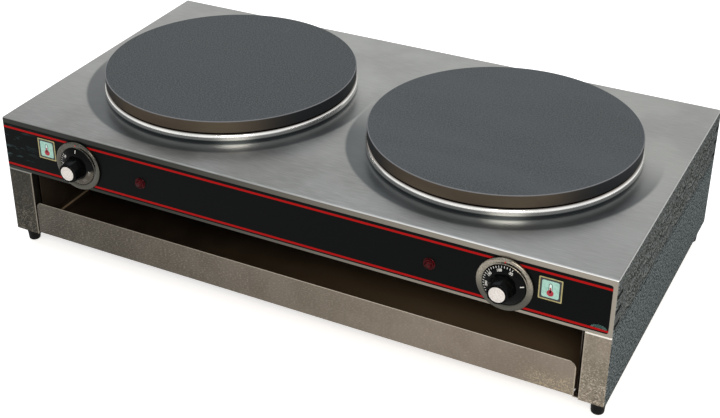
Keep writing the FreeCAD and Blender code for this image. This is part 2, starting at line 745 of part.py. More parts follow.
def lamp_body(name):
    """Lamp holder behind the apron, with two blades."""
    tail = -SHEET - LAMP_BODY_L
    barrel = rod(LAMP_BODY_R, Vector(0, 0, tail), UP, LAMP_BODY_L)
    socket = rod(LENS_NECK_R + CAP_CLEAR, Vector(0, 0, -LENS_NECK_L - CAP_CLEAR), UP, LENS_NECK_L)
    blades = []
    for side in (-1, 1):
        x = side * LAMP_BODY_R / 2
        blades.append(box((x - BLADE_T / 2, x + BLADE_T / 2), (-BLADE_W / 2, BLADE_W / 2),
                          (tail - BLADE_L, tail)))
    return to_front(barrel.fuse(blades).cut(socket).removeSplitter(), LAMP_X[name], LAMP_Z)


def collar_ring(side):
    """Rolled ring on the deck, closing the gap under the plate's rim."""
    top = DECK_Z + PLATE_LIFT - RING_TOP_GAP
    t = SHEET
    ring = turned([(RING_R, DECK_Z), (RING_R, top), (RING_R - RING_TOP_W, top),
                   (RING_R - RING_TOP_W, top - t), (RING_R - t, top - t), (RING_R - t, DECK_Z + t),
                   (RING_R - RING_FOOT_W, DECK_Z + t), (RING_R - RING_FOOT_W, DECK_Z)])
    ring = ring.makeFillet(RING_ROLL, [hoop(ring, RING_R, top)])
    ring = ring.makeFillet(RING_ROLL - t, [hoop(ring, RING_R - t, top - t)])
    ring.translate(Vector(side * PLATE_X, Y_MID, 0))
    return ring


def hoop(shape, radius, z):
    """The round edge of a shape with this radius, at this height."""
    for edge in shape.Edges:
        if edge.Curve.TypeId != "Part::GeomCircle":
            continue
        if abs(edge.Curve.Radius - radius) < 0.01 and abs(edge.Curve.Center.z - z) < 0.01:
            return edge


def griddle_plate(side):
    """Cast-iron disc, recessed below for the element, with three tapped bosses."""
    top = PLATE_UNDER + PLATE_T
    recess = PLATE_R - PLATE_RIM
    e = PLATE_EDGE
    disc = turned([(0, RECESS_Z), (recess, RECESS_Z), (recess, PLATE_UNDER), (PLATE_R - e, PLATE_UNDER),
                   (PLATE_R, PLATE_UNDER + e), (PLATE_R, top - e), (PLATE_R - e, top), (0, top)],
                  Vector(side * PLATE_X, Y_MID, 0))
    bosses = []
    holes = []
    for angle in STUD_ANGLES:
        foot = polar(side * PLATE_X, STUD_CIRCLE, angle, CLAMP_TOP)
        bosses.append(rod(BOSS_R, foot, UP, RECESS_Z - CLAMP_TOP))
        holes.append(rod(STUD_R, foot, UP, STUD_IN))
    return disc.fuse(bosses).cut(holes).removeSplitter()


def heating_element(side):
    """Two-turn tubular element: outer turn, hairpin, inner turn and two dropped ends."""
    x = side * PLATE_X
    start = ELEMENT_START_ANGLE
    end = ELEMENT_START_ANGLE + ELEMENT_SPAN_ANGLE
    middle = (start + end) / 2
    z = ELEMENT_Z
    outer = Part.Arc(polar(x, ELEMENT_OUTER_R, start, z), polar(x, ELEMENT_OUTER_R, middle, z),
                     polar(x, ELEMENT_OUTER_R, end, z))
    inner = Part.Arc(polar(x, ELEMENT_INNER_R, end, z), polar(x, ELEMENT_INNER_R, middle, z),
                     polar(x, ELEMENT_INNER_R, start, z))
    ahead = turn_way(end)
    hairpin_mid = polar(x, STUD_CIRCLE, end, z) + ahead * ((ELEMENT_OUTER_R - ELEMENT_INNER_R) / 2)
    hairpin = Part.Arc(polar(x, ELEMENT_OUTER_R, end, z), hairpin_mid, polar(x, ELEMENT_INNER_R, end, z))
    first = dropped_end(polar(x, ELEMENT_OUTER_R, start, z), start)
    last = dropped_end(polar(x, ELEMENT_INNER_R, start, z), start)
    edges = [first[0], first[1], outer.toShape(), hairpin.toShape(), inner.toShape(), last[1], last[0]]
    path = Part.Wire(Part.sortEdges(edges)[0])
    bar = swept(path, ELEMENT_R)
    pins = []
    for tip in terminal_tips(x):
        pins.append(rod(PIN_R, tip, Vector(0, 0, -1), PIN_L))
    return bar.fuse(pins)


def turn_way(angle):
    turn = math.radians(angle)
    return Vector(-math.sin(turn), math.cos(turn), 0)


def dropped_end(turn_point, angle):
    """The straight drop and the quarter bend at one end of the element."""
    away = turn_way(angle) * -1
    centre = turn_point - UP * ELEMENT_BEND
    corner = centre + away * ELEMENT_BEND
    middle = centre + (away + UP) * (ELEMENT_BEND / math.sqrt(2))
    drop = Part.LineSegment(corner - UP * ELEMENT_DROP, corner).toShape()
    bend = Part.Arc(corner, middle, turn_point).toShape()
    return drop, bend


def terminal_places(x):
    """Axis of each dropped element end, at the level of the turns."""
    away = turn_way(ELEMENT_START_ANGLE) * -ELEMENT_BEND
    places = []
    for radius in (ELEMENT_OUTER_R, ELEMENT_INNER_R):
        places.append(polar(x, radius, ELEMENT_START_ANGLE, ELEMENT_Z) + away)
    return places


def terminal_tips(x):
    return [place - UP * (ELEMENT_BEND + ELEMENT_DROP) for place in terminal_places(x)]


def terminal_wells(x, low, high):
    """Round cuts that let the element's bends and drops pass a layer."""
    wells = []
    for place in terminal_places(x):
        middle = place + turn_way(ELEMENT_START_ANGLE) * (ELEMENT_BEND / 3)
        wells.append(rod(WELL_R, Vector(middle.x, middle.y, low), UP, high - low))
    return wells


def stud_holes(x, radius, low, high):
    return [rod(radius, polar(x, STUD_CIRCLE, a, low), UP, high - low) for a in STUD_ANGLES]


def capillary_drop(side):
    """Where the capillary turns down in front of its bulb, clear of the front stud."""
    return Vector(side * (PLATE_X + BULB_SHIFT), Y_MID - BULB_L / 2 - CAPILLARY_LEAD, 0)


def clamp_plate(side):
    """Steel disc that presses the element against the griddle plate."""
    x = side * PLATE_X
    low = CLAMP_UNDER - CLAMP_T
    high = CLAMP_TOP + CLAMP_T
    disc = rod(CLAMP_R, Vector(x, Y_MID, CLAMP_UNDER), UP, CLAMP_T)
    drop = capillary_drop(side)
    pass_hole = rod(CHANNEL_R, drop + UP * low, UP, high - low)
    cuts = stud_holes(x, STUD_R + STUD_CLEAR, low, high) + terminal_wells(x, low, high) + [pass_hole]
    return disc.cut(cuts)


def insulation(side):
    """Mineral wool disc, pierced for studs, element ends and the capillary."""
    x = side * PLATE_X
    disc = rod(WOOL_R, Vector(x, Y_MID, PAN_FLOOR), UP, CLAMP_UNDER - PAN_FLOOR)
    drop = capillary_drop(side)
    level = PAN_FLOOR + CAPILLARY_RISE
    down = rod(CHANNEL_R, drop + UP * level, UP, CLAMP_UNDER - level + CHANNEL_R)
    out = rod(CHANNEL_R, drop + UP * level + BACKWARD * CHANNEL_R, BACKWARD * -1, WOOL_R)
    low = PAN_FLOOR - SHEET
    cuts = stud_holes(x, SLEEVE_R + WOOL_CLEAR / 2, low, CLAMP_UNDER + SHEET)
    return disc.cut(cuts + terminal_wells(x, low, CLAMP_UNDER + SHEET) + [down, out])


def heat_shield(side):
    """Sheet pan that hangs from the deck and holds the insulation."""
    x = side * PLATE_X
    t = SHEET
    flange = DECK_HOLE_R + PAN_FLANGE
    pan = turned([(0, PAN_UNDER), (PAN_R, PAN_UNDER), (PAN_R, DECK_UNDER - t), (flange, DECK_UNDER - t),
                  (flange, DECK_UNDER), (PAN_R - t, DECK_UNDER), (PAN_R - t, PAN_FLOOR), (0, PAN_FLOOR)],
                 Vector(x, Y_MID, 0))
    low = PAN_UNDER - t
    high = PAN_FLOOR + t
    cuts = stud_holes(x, STUD_R + STUD_CLEAR, low, high)
    for place in terminal_places(x):
        cuts.append(rod(BEAD_R + BEAD_CLEAR, Vector(place.x, place.y, low), UP, high - low))
    level = PAN_FLOOR + CAPILLARY_RISE
    cuts.append(rod(CHANNEL_R, capillary_drop(side) + UP * level, BACKWARD * -1, PAN_R + t))
    return pan.cut(cuts)


def terminal_insulators():
    """Flanged ceramic beads round the element ends, seated in the pans."""
    beads = []
    for name, side in SIDES:
        for place in terminal_places(side * PLATE_X):
            bore = ELEMENT_R + BEAD_CLEAR
            low = PAN_FLOOR + BEAD_FLANGE_T - BEAD_L
            top = PAN_FLOOR + BEAD_FLANGE_T
            beads.append(turned([(bore, low), (BEAD_R, low), (BEAD_R, PAN_FLOOR), (BEAD_FLANGE_R, PAN_FLOOR),
                                 (BEAD_FLANGE_R, top), (bore, top)], Vector(place.x, place.y, 0)))
    return Part.makeCompound(beads)


def each_stud():
    """Axis of every plate stud, as (x, y)."""
    places = []
    for name, side in SIDES:
        for angle in STUD_ANGLES:
            at = polar(side * PLATE_X, STUD_CIRCLE, angle, 0)
            places.append((at.x, at.y))
    return places


def griddle_studs():
    low = RAIL_UNDER - NUT_H - STUD_TAIL
    return Part.makeCompound([rod(STUD_R, Vector(x, y, low), UP, BOLT_TOP - low) for x, y in each_stud()])


def griddle_nuts():
    """One nut under the clamp plate and one under the rail on every stud."""
    nuts = []
    for x, y in each_stud():
        for top in (NUT_TOP, RAIL_UNDER):
            nuts.append(nut(NUT_AF, NUT_H, STUD_R + NUT_BORE_CLEAR, Vector(x, y, top - NUT_H)))
    return Part.makeCompound(nuts)


def nut(across_flats, height, bore, base):
    return hexagon(across_flats, height, base).cut(rod(bore, base, UP, height))


def stud_sleeves():
    """Spacers from the pans' floors up to the clamp nuts."""
    sleeves = []
    for x, y in each_stud():
        base = Vector(x, y, PAN_FLOOR)
        length = SLEEVE_TOP - PAN_FLOOR
        sleeves.append(rod(SLEEVE_R, base, UP, length).cut(rod(STUD_R + STUD_CLEAR, base, UP, length)))
    return Part.makeCompound(sleeves)


def support_rail(y):
    """Inverted channel across the box, between the base plate and the pans."""
    reach = X_INNER - RAIL_END
    half = RAIL_W / 2
    block = box((-reach, reach), (y - half, y + half), (FLOOR_TOP, RAIL_TOP))
    hollow = box((-reach - RAIL_T, reach + RAIL_T), (y - half + RAIL_T, y + half - RAIL_T),
                 (FLOOR_TOP - RAIL_T, RAIL_UNDER))
    cuts = [hollow]
    for stud_x, stud_y in each_stud():
        if abs(stud_y - y) < half:
            low = Vector(stud_x, stud_y, RAIL_UNDER - RAIL_T)
            cuts.append(rod(STUD_R + STUD_CLEAR, low, UP, 3 * RAIL_T))
    return block.cut(cuts)


def sensor(name, side):
    """Sensing bulb under the plate and the capillary back to the thermostat."""
    drop = capillary_drop(side)
    x = drop.x
    half = BULB_L / 2
    bulb = rod(ELEMENT_R, Vector(x, Y_MID - half, ELEMENT_Z), BACKWARD, BULB_L)
    bulb = rounded(bulb, ELEMENT_R / 2, lambda m, w: abs(w.y) < 0.5)
    level = PAN_FLOOR + CAPILLARY_RISE
    back = PANEL_IN + THERMO_PLATE_T + THERMO_D
    exit_x = KNOB_X[name] - side * (THERMO_BASE_W / 2 + CAPILLARY_R)
    exit_z = KNOB_Z + CAPILLARY_OFFSET
    turn_y = back + THERMO_BASE_D + BLADE_L + CAPILLARY_STANDOFF / 2
    points = [Vector(x, Y_MID - half, ELEMENT_Z), Vector(x, drop.y, ELEMENT_Z), Vector(x, drop.y, level),
              Vector(x, turn_y, level), Vector(exit_x, turn_y, exit_z), Vector(exit_x, back, exit_z)]
    return bulb.fuse(tube(points, CAPILLARY_R, CAPILLARY_BEND)).removeSplitter()


def foot_places():
    places = []
    for y in (Y_FRONT + FOOT_END_INSET, Y_BACK - FOOT_END_INSET):
        for side in (-1, 1):
            places.append((side * (X_SIDE - FOOT_SIDE_INSET), y))
    return places


def foot(x, y):
    """Tapered rubber foot with a flange and a rounded tip."""
    body = turned([(0, 0), (FOOT_TIP_R, 0), (FOOT_WAIST_R, FOOT_H - FOOT_FLANGE_T),
                   (FOOT_FLANGE_R, FOOT_H - FOOT_FLANGE_T), (FOOT_FLANGE_R, FOOT_H), (0, FOOT_H)])
    body = body.makeFillet(FOOT_ROUND, [hoop(body, FOOT_TIP_R, 0)])
    socket = rod(FOOT_STUD_R, Vector(0, 0, FOOT_H - FOOT_STUD_IN), UP, FOOT_STUD_IN)
    body = body.cut(socket)
    body.translate(Vector(x, y, 0))
    return body


def foot_studs():
    low = FOOT_H - FOOT_STUD_IN
    length = FOOT_STUD_IN + SHEET + FOOT_NUT_H + FOOT_STUD_TAIL
    return Part.makeCompound([rod(FOOT_STUD_R, Vector(x, y, low), UP, length) for x, y in foot_places()])


def foot_nuts():
    base = FOOT_H + SHEET
    bore = FOOT_STUD_R + NUT_BORE_CLEAR
    nuts = [nut(FOOT_NUT_AF, FOOT_NUT_H, bore, Vector(x, y, base)) for x, y in foot_places()]
    return Part.makeCompound(nuts)


def pull_out_tray():
    """Shallow tray on the runners' rails, with a tall lip between the posts."""
    t = TRAY_SHEET
    front = LIP_Y + LIP_T
    top = TRAY_Z + TRAY_WALL_H
    pan = box((-TRAY_X, TRAY_X), (LIP_Y, TRAY_BACK), (TRAY_Z, top))
    hollow = box((-TRAY_X + t, TRAY_X - t), (front, TRAY_BACK - t), (TRAY_Z + t, top + t))
    left = LEFT_POST_W + LIP_LEFT_GAP - X_SIDE
    right = X_SIDE - RIGHT_POST_W - LIP_RIGHT_GAP
    lip = box((left, right), (LIP_Y, front), (TRAY_Z, TRAY_Z + LIP_H))
    lip_top = TRAY_Z + LIP_H
    corner = lambda m, w, x: abs(w.y) > 0.9 and abs(m.x - x) < 0.01 and abs(m.z - lip_top) < 0.01
    lip = rounded(lip, LIP_LEFT_R, lambda m, w: corner(m, w, left))
    lip = rounded(lip, LIP_RIGHT_R, lambda m, w: corner(m, w, right))
    return pan.cut(hollow).fuse(lip).removeSplitter()


def cable_gland():
    """Gland body through the rear panel, with its dome nut."""
    base = Vector(0, 0, 0)
    thread = rod(GLAND_THREAD_R, Vector(0, 0, -GLAND_INSIDE), UP, GLAND_INSIDE)
    body = hexagon(GLAND_HEX_AF, GLAND_HEX_T, base)
    half = GLAND_DOME_L / 2
    dome_base = Vector(0, 0, GLAND_HEX_T)
    dome = hexagon(GLAND_HEX_AF, half, dome_base)
    wide = GLAND_HEX_AF / 2
    nose = turned([(0, half), (wide, half), (GLAND_MOUTH_R, GLAND_DOME_L), (0, GLAND_DOME_L)], dome_base)
    bore = rod(GLAND_BORE_R, Vector(0, 0, -2 * GLAND_INSIDE), UP, 3 * GLAND_INSIDE + 2 * GLAND_DOME_L)
    return to_back(thread.fuse([body, dome, nose]).cut(bore).removeSplitter(), GLAND_X, GLAND_Z)


def gland_locknut():
    low = -SHEET - LOCKNUT_T
    ring = nut(LOCKNUT_AF, LOCKNUT_T, GLAND_THREAD_R + NUT_BORE_CLEAR, Vector(0, 0, low))
    return to_back(ring, GLAND_X, GLAND_Z)


def earth_terminal():
    """Earth bolt through the rear panel with one nut inside and one outside."""
    stud = rod(EARTH_R, Vector(0, 0, -EARTH_IN), UP, EARTH_IN + EARTH_OUT)
    inside = hexagon(EARTH_NUT_AF, EARTH_NUT_T, Vector(0, 0, -SHEET - EARTH_NUT_T))
    outside = hexagon(EARTH_NUT_AF, EARTH_NUT_T, Vector(0, 0, 0))
    return to_back(stud.fuse([inside, outside]).removeSplitter(), GLAND_X - EARTH_OFFSET, GLAND_Z)


def block_corner():
    """Lowest corner of the terminal block, which lies between the two pans."""
    return Vector(-BLOCK_L / 2, REAR_IN - BLOCK_BACK - BLOCK_D, FLOOR_TOP)


def terminal_block():
    """Ceramic block with ribs between its poles, and a brass screw on each pole."""
    at = block_corner()
    body = Part.makeBox(BLOCK_L, BLOCK_D, BLOCK_H, at)
    pitch = (BLOCK_L - BLOCK_RIB_T) / BLOCK_POLES
    ribs = []
    screws = []
    for k in range(BLOCK_POLES + 1):
        rib_at = at + Vector(k * pitch, 0, BLOCK_H)
        ribs.append(Part.makeBox(BLOCK_RIB_T, BLOCK_D, BLOCK_RIB_H, rib_at))
    for k in range(BLOCK_POLES):
        middle = at + Vector(BLOCK_RIB_T + (k + 0.5) * pitch - BLOCK_RIB_T / 2, BLOCK_D / 2, BLOCK_H)
        screws.append(rod(BLOCK_SCREW_R, middle, UP, BLOCK_SCREW_R))
    return body.fuse(ribs + screws).removeSplitter()


def wiring(name, side):
    """Sleeved leads from the terminal block to one thermostat and one element."""
    level = FLOOR_TOP + LEAD_RISE
    at = block_corner()
    start = Vector(at.x + BLOCK_L * (2 + side) / 4, at.y + BLOCK_D, level)
    back_y = REAR_IN - LEAD_BACK_GAP
    side_x = side * (X_INNER - LEAD_SIDE_GAP)
    blade_y = PANEL_IN + THERMO_PLATE_T + THERMO_D + THERMO_BASE_D
    blade_x = KNOB_X[name] + side * (THERMO_BASE_W / 2 + SLEEVING_R)
    turn_y = blade_y + CAPILLARY_STANDOFF / 2
    trunk = [start, Vector(start.x, back_y, level), Vector(side_x, back_y, level),
             Vector(side_x, turn_y, level), Vector(blade_x, turn_y, KNOB_Z),
             Vector(blade_x, blade_y - THERMO_BASE_D, KNOB_Z)]
    leads = []
    for tip in terminal_tips(side * PLATE_X):
        end = tip - UP * PIN_L
        turn = Vector(end.x, end.y, level)
        leads.append(tube([end, turn, Vector(side_x, end.y, level)], LEAD_R, LEAD_BEND / 2))
    return tube(trunk, SLEEVING_R, LEAD_BEND).fuse(leads)


def pan_screw(at, axis):
    """Screw whose head lies on its seat, with the shank pointing along the axis."""
    head = rod(M4_HEAD_R, at, axis * -1, M4_HEAD_H)
    shank = rod(M4_R, at, axis, SHANK_L)
    return head.fuse(shank).removeSplitter()


def rear_screws():
    places = upper_screw_places() + lower_screw_places()
    return Part.makeCompound([pan_screw(Vector(x, Y_BACK, z), BACKWARD * -1) for x, z in places])


def ceiling_screws(places):
    return Part.makeCompound([pan_screw(Vector(x, y, BOX_Z - SHEET), UP) for x, y in places])


def main():
    os.makedirs("parts", exist_ok=True)
    save("upper_housing", upper_housing())
    save("rear_panel", rear_panel())
    save("base_plate", base_plate())
    save("lower_rear_panel", lower_rear_panel())
    save("control_overlay", control_overlay())
    rail_levels = sorted({round(y, 6) for x, y in each_stud()})
    save("front_support_rail", support_rail(rail_levels[0]))
    save("rear_support_rail", support_rail(rail_levels[-1]))
    for name, side in SIDES:
        save(name + "_side_frame", side_frame(name, side))
        save(name + "_tray_runner", tray_runner(side))
        save(name + "_griddle_plate", griddle_plate(side))
        save(name + "_collar_ring", collar_ring(side))
        save(name + "_heating_element", heating_element(side))
        save(name + "_clamp_plate", clamp_plate(side))
        save(name + "_insulation", insulation(side))
        save(name + "_heat_shield", heat_shield(side))
        save(name + "_bezel", bezel(name))
        save(name + "_knob", knob(name))
        save(name + "_knob_cap", knob_cap(name))
        save(name + "_spindle", spindle(name))
        save(name + "_thermostat", thermostat(name))
        save(name + "_sensor", sensor(name, side))
        save(name + "_lamp_lens", lamp_lens(name))
        save(name + "_lamp_body", lamp_body(name))
        save(name + "_wiring", wiring(name, side))
    save("pull_out_tray", pull_out_tray())
    foot_names = ("front_left_foot", "front_right_foot", "rear_left_foot", "rear_right_foot")
    for node, place in zip(foot_names, foot_places()):
        save(node, foot(*place))
    save("foot_studs", foot_studs())
    save("foot_nuts", foot_nuts())
    save("griddle_studs", griddle_studs())
    save("griddle_nuts", griddle_nuts())
    save("stud_sleeves", stud_sleeves())
    save("terminal_insulators", terminal_insulators())
    save("thermostat_screws", thermostat_screws())
    save("terminal_block", terminal_block())
    save("cable_gland", cable_gland())
    save("gland_locknut", gland_locknut())
    save("earth_terminal", earth_terminal())
    save("rear_screws", rear_screws())
    save("frame_screws", ceiling_screws(frame_screw_places()))
    save("runner_screws", ceiling_screws(runner_screw_places()))


main()
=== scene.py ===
"""Finishes of a double crepe maker: satin stainless box, cast-iron plates and a printed control strip."""
import math

import bpy
from mathutils import Euler, Matrix, Vector


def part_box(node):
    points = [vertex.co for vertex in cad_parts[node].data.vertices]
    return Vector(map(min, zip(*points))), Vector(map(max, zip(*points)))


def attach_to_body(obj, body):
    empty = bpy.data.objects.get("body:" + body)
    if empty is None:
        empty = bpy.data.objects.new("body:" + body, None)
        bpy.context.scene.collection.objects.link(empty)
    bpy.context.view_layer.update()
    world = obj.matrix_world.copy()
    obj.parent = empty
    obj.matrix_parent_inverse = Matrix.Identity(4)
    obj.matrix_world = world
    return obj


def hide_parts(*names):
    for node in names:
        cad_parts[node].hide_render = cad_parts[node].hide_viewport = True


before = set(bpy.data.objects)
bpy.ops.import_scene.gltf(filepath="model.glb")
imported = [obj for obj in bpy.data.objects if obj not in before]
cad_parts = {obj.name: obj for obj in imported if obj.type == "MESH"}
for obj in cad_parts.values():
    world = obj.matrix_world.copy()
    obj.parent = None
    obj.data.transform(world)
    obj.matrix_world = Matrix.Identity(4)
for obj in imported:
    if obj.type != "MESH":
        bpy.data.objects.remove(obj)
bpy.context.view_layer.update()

MM = 0.001
SIDES = ("left", "right")

# Places read from the frame
HOUSING_LOW, HOUSING_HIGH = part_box("upper_housing")
OVERLAY_LOW, OVERLAY_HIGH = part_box("control_overlay")
TRAY_LOW, TRAY_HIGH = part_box("pull_out_tray")
FRAME_LOW, FRAME_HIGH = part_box("left_side_frame")
PLATE_LOW, PLATE_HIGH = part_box("right_griddle_plate")
FACE_Y = OVERLAY_LOW.y
OVERLAY_T = OVERLAY_HIGH.y - OVERLAY_LOW.y

# The same places in millimetres, for the finishes
DECK_TOP = HOUSING_HIGH.z / MM
CASE_EDGE = -FRAME_LOW.x / MM
CASE_FRONT = HOUSING_LOW.y / MM
FRAME_TOP = FRAME_HIGH.z / MM
TRAY_FRONT = TRAY_LOW.y / MM
TRAY_RIM = TRAY_HIGH.z / MM
TRAY_END = TRAY_HIGH.x / MM
PLATE_SPOT = (PLATE_LOW.x + PLATE_HIGH.x) / 2 / MM
PLATE_R = 175.0
PLATE_TOP = PLATE_HIGH.z / MM
RING_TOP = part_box("left_collar_ring")[1].z / MM
LEFT_DIAL = (-302.4, 157.0)

# Printing on the overlay, in millimetres from the floor or from the overlay's edge
STRIPE_H = 3.0
TOP_STRIPE_DROP = 3.6
LOW_STRIPE_RISE = 2.0
SCUFF_REACH = 70.0
SIGN_CENTRES = {"left": (-354.2, 167.8), "right": (351.2, 165.6)}
SIGN_W = 28.0
SIGN_H = 30.0
SIGN_LINE = 1.5
PANE_W = 20.5
PANE_H = 22.5
TUBE_H = 13.0
PRINT_T = 0.05
SCRAP_W = 19.0
SCRAP_H = 5.0
SCRAP_T = 0.08
SCRAP_INSET = 11.0
SCRAP_RISE = 3.2
SCRAP_STAND = 0.3

# Rows of louvres on the side aprons, in millimetres
LOUVRE_Y_STEP = 66.0
LOUVRE_Z_STEP = 20.0
LOUVRE_LOW_Z = 143.0

# Painted shadow on the deck, painted glare on the left dial and turning rings on the plates, in millimetres
PLATE_SHADOW_REACH = 200.0
GLARE_RIGHT = 0.35
GLARE_DOWN = 0.94
TURNING_PITCH = 1.6

# Knob, its dial and the bezel round it, measured from the front apron
DIAL_R = 26.4
DIAL_STAND = 3.0
DIAL_EDGE = 4.5
GRIP_Z = 7.0
GRIP_TOP = 26.0
GRIP_BASE_R = 17.3
GRIP_TIP_R = 12.9
GRIP_FACES = 8
CAP_R = 9.9
CAP_TOP = 27.0
BEZEL_R = 35.0
BEZEL_BORE = 27.0
BEZEL_T = 4.0
DOT_R = 1.1
RIGHT_DIAL_TURN = 78.0
SCALE_MARKS = ((55, "50"), (95, "100"), (135, "150"), (175, "200"), (215, "250"), (255, "300"))
TICK_STEP = 8
FIGURE_H = 4.6
FIGURE_R = 20.6
TICK_R = 24.6
TICK_L = 2.5
TICK_W = 0.75
MARK_R = 22.6
MARK_L = 4.6
MARK_W = 1.3

# Collar rings, in millimetres
RING_SHEET = 1.2
RING_ROLL = 5.0
RING_ROLL_STEPS = 8
RING_TOP_W = 7.0
RING_FOOT_W = 8.0

# Camera of the photograph
CAMERA_SPOT = (0.7124, -1.4338, 1.0245)
CAMERA_AZIMUTH = 28.3539
CAMERA_ELEVATION = 29.6624
CAMERA_ROLL = -0.6259
CAMERA_LENS = 66.87
CAMERA_SHIFT = (0.0530, -0.0547)

# Light: what the world gives to diffuse surfaces, the floor's glow as the camera sees it, and the soft boxes
WORLD_LEVEL = 0.55
FLOOR_GLOW = 0.6
FLOOR_SIZE = 14
LAMPS = (("key", (1.35, -2.4, 2.1), 1.2, 46, "#fff6ea"), ("top", (-0.8, 0.9, 2.8), 2.0, 28, "#eef4ff"))

# Node settings that many finishes share
SMOOTH = {"interpolation_type": "SMOOTHSTEP"}
BLEND = {"data_type": "RGBA"}
TIMES = {"operation": "MULTIPLY"}
PLUS = {"operation": "ADD"}


def colour(code):
    """Linear colour with alpha from an sRGB hex code."""
    linear = []
    for k in (1, 3, 5):
        value = int(code[k:k + 2], 16) / 255
        linear.append(value / 12.92 if value <= 0.04045 else ((value + 0.055) / 1.055) ** 2.4)
    return (*linear, 1.0)


def new_material(name, **settings):
    """Material with its shader's own values set; returns the material and the shader."""
    material = bpy.data.materials.new(name)
    material.use_nodes = True
    shader = material.node_tree.nodes["Principled BSDF"]
    for socket, value in settings.items():
        value = colour(value) if isinstance(value, str) else value
        shader.inputs[socket.replace("_", " ")].default_value = value
    return material, shader


def add(owner, kind, *inputs, out=0, **settings):
    """Adds a node with its settings and, in the order of its sockets, its inputs; returns one of its outputs.

    An input is a number, a vector, a hex colour or another node's output. None leaves its socket as it is.
    """
    node = owner.node_tree.nodes.new("ShaderNode" + kind)
    for name, value in settings.items():
        setattr(node, name, value)
    sockets = [socket for socket in node.inputs if socket.enabled]
    for socket, value in zip(sockets, inputs):
        if isinstance(value, bpy.types.NodeSocket):
            owner.node_tree.links.new(value, socket)
        elif value is not None:
            socket.default_value = colour(value) if isinstance(value, str) else value
    return [socket for socket in node.outputs if socket.enabled][out]


def attach(shader, **outputs):
    """Links outputs to the shader's inputs of the same names."""
    for name, output in outputs.items():
        shader.id_data.links.new(output, shader.inputs[name.replace("_", " ")])


def in_millimetres(material, centre=(0, 0, 0), stretch=(1, 1, 1)):
    """Object coordinates in millimetres, counted from a centre in metres and divided by the stretch."""
    scale = [1 / (MM * s) for s in stretch]
    shift = [-c * k for c, k in zip(centre, scale)]
    here = add(material, "TexCoord").node.outputs["Object"]
    return add(material, "Mapping", here, shift, None, scale)


def axes(material):
    """The three object coordinates in millimetres."""
    return add(material, "SeparateXYZ", in_millimetres(material)).node.outputs


def inside(material, value, low, high, soft=0.1):
    """1 between low and high, 0 outside."""
    rise = add(material, "MapRange", value, low - soft, low + soft, **SMOOTH)
    fall = add(material, "MapRange", value, high - soft, high + soft, 1, 0, **SMOOTH)
    return add(material, "Math", rise, fall, **TIMES)


def crystals(material, width):
    """Tone of a metal's surface crystals of a width in millimetres, each light or dark by chance."""
    cells = add(material, "TexVoronoi", in_millimetres(material), 1 / width, out=1, feature="F1")
    return add(material, "SeparateColor", cells)


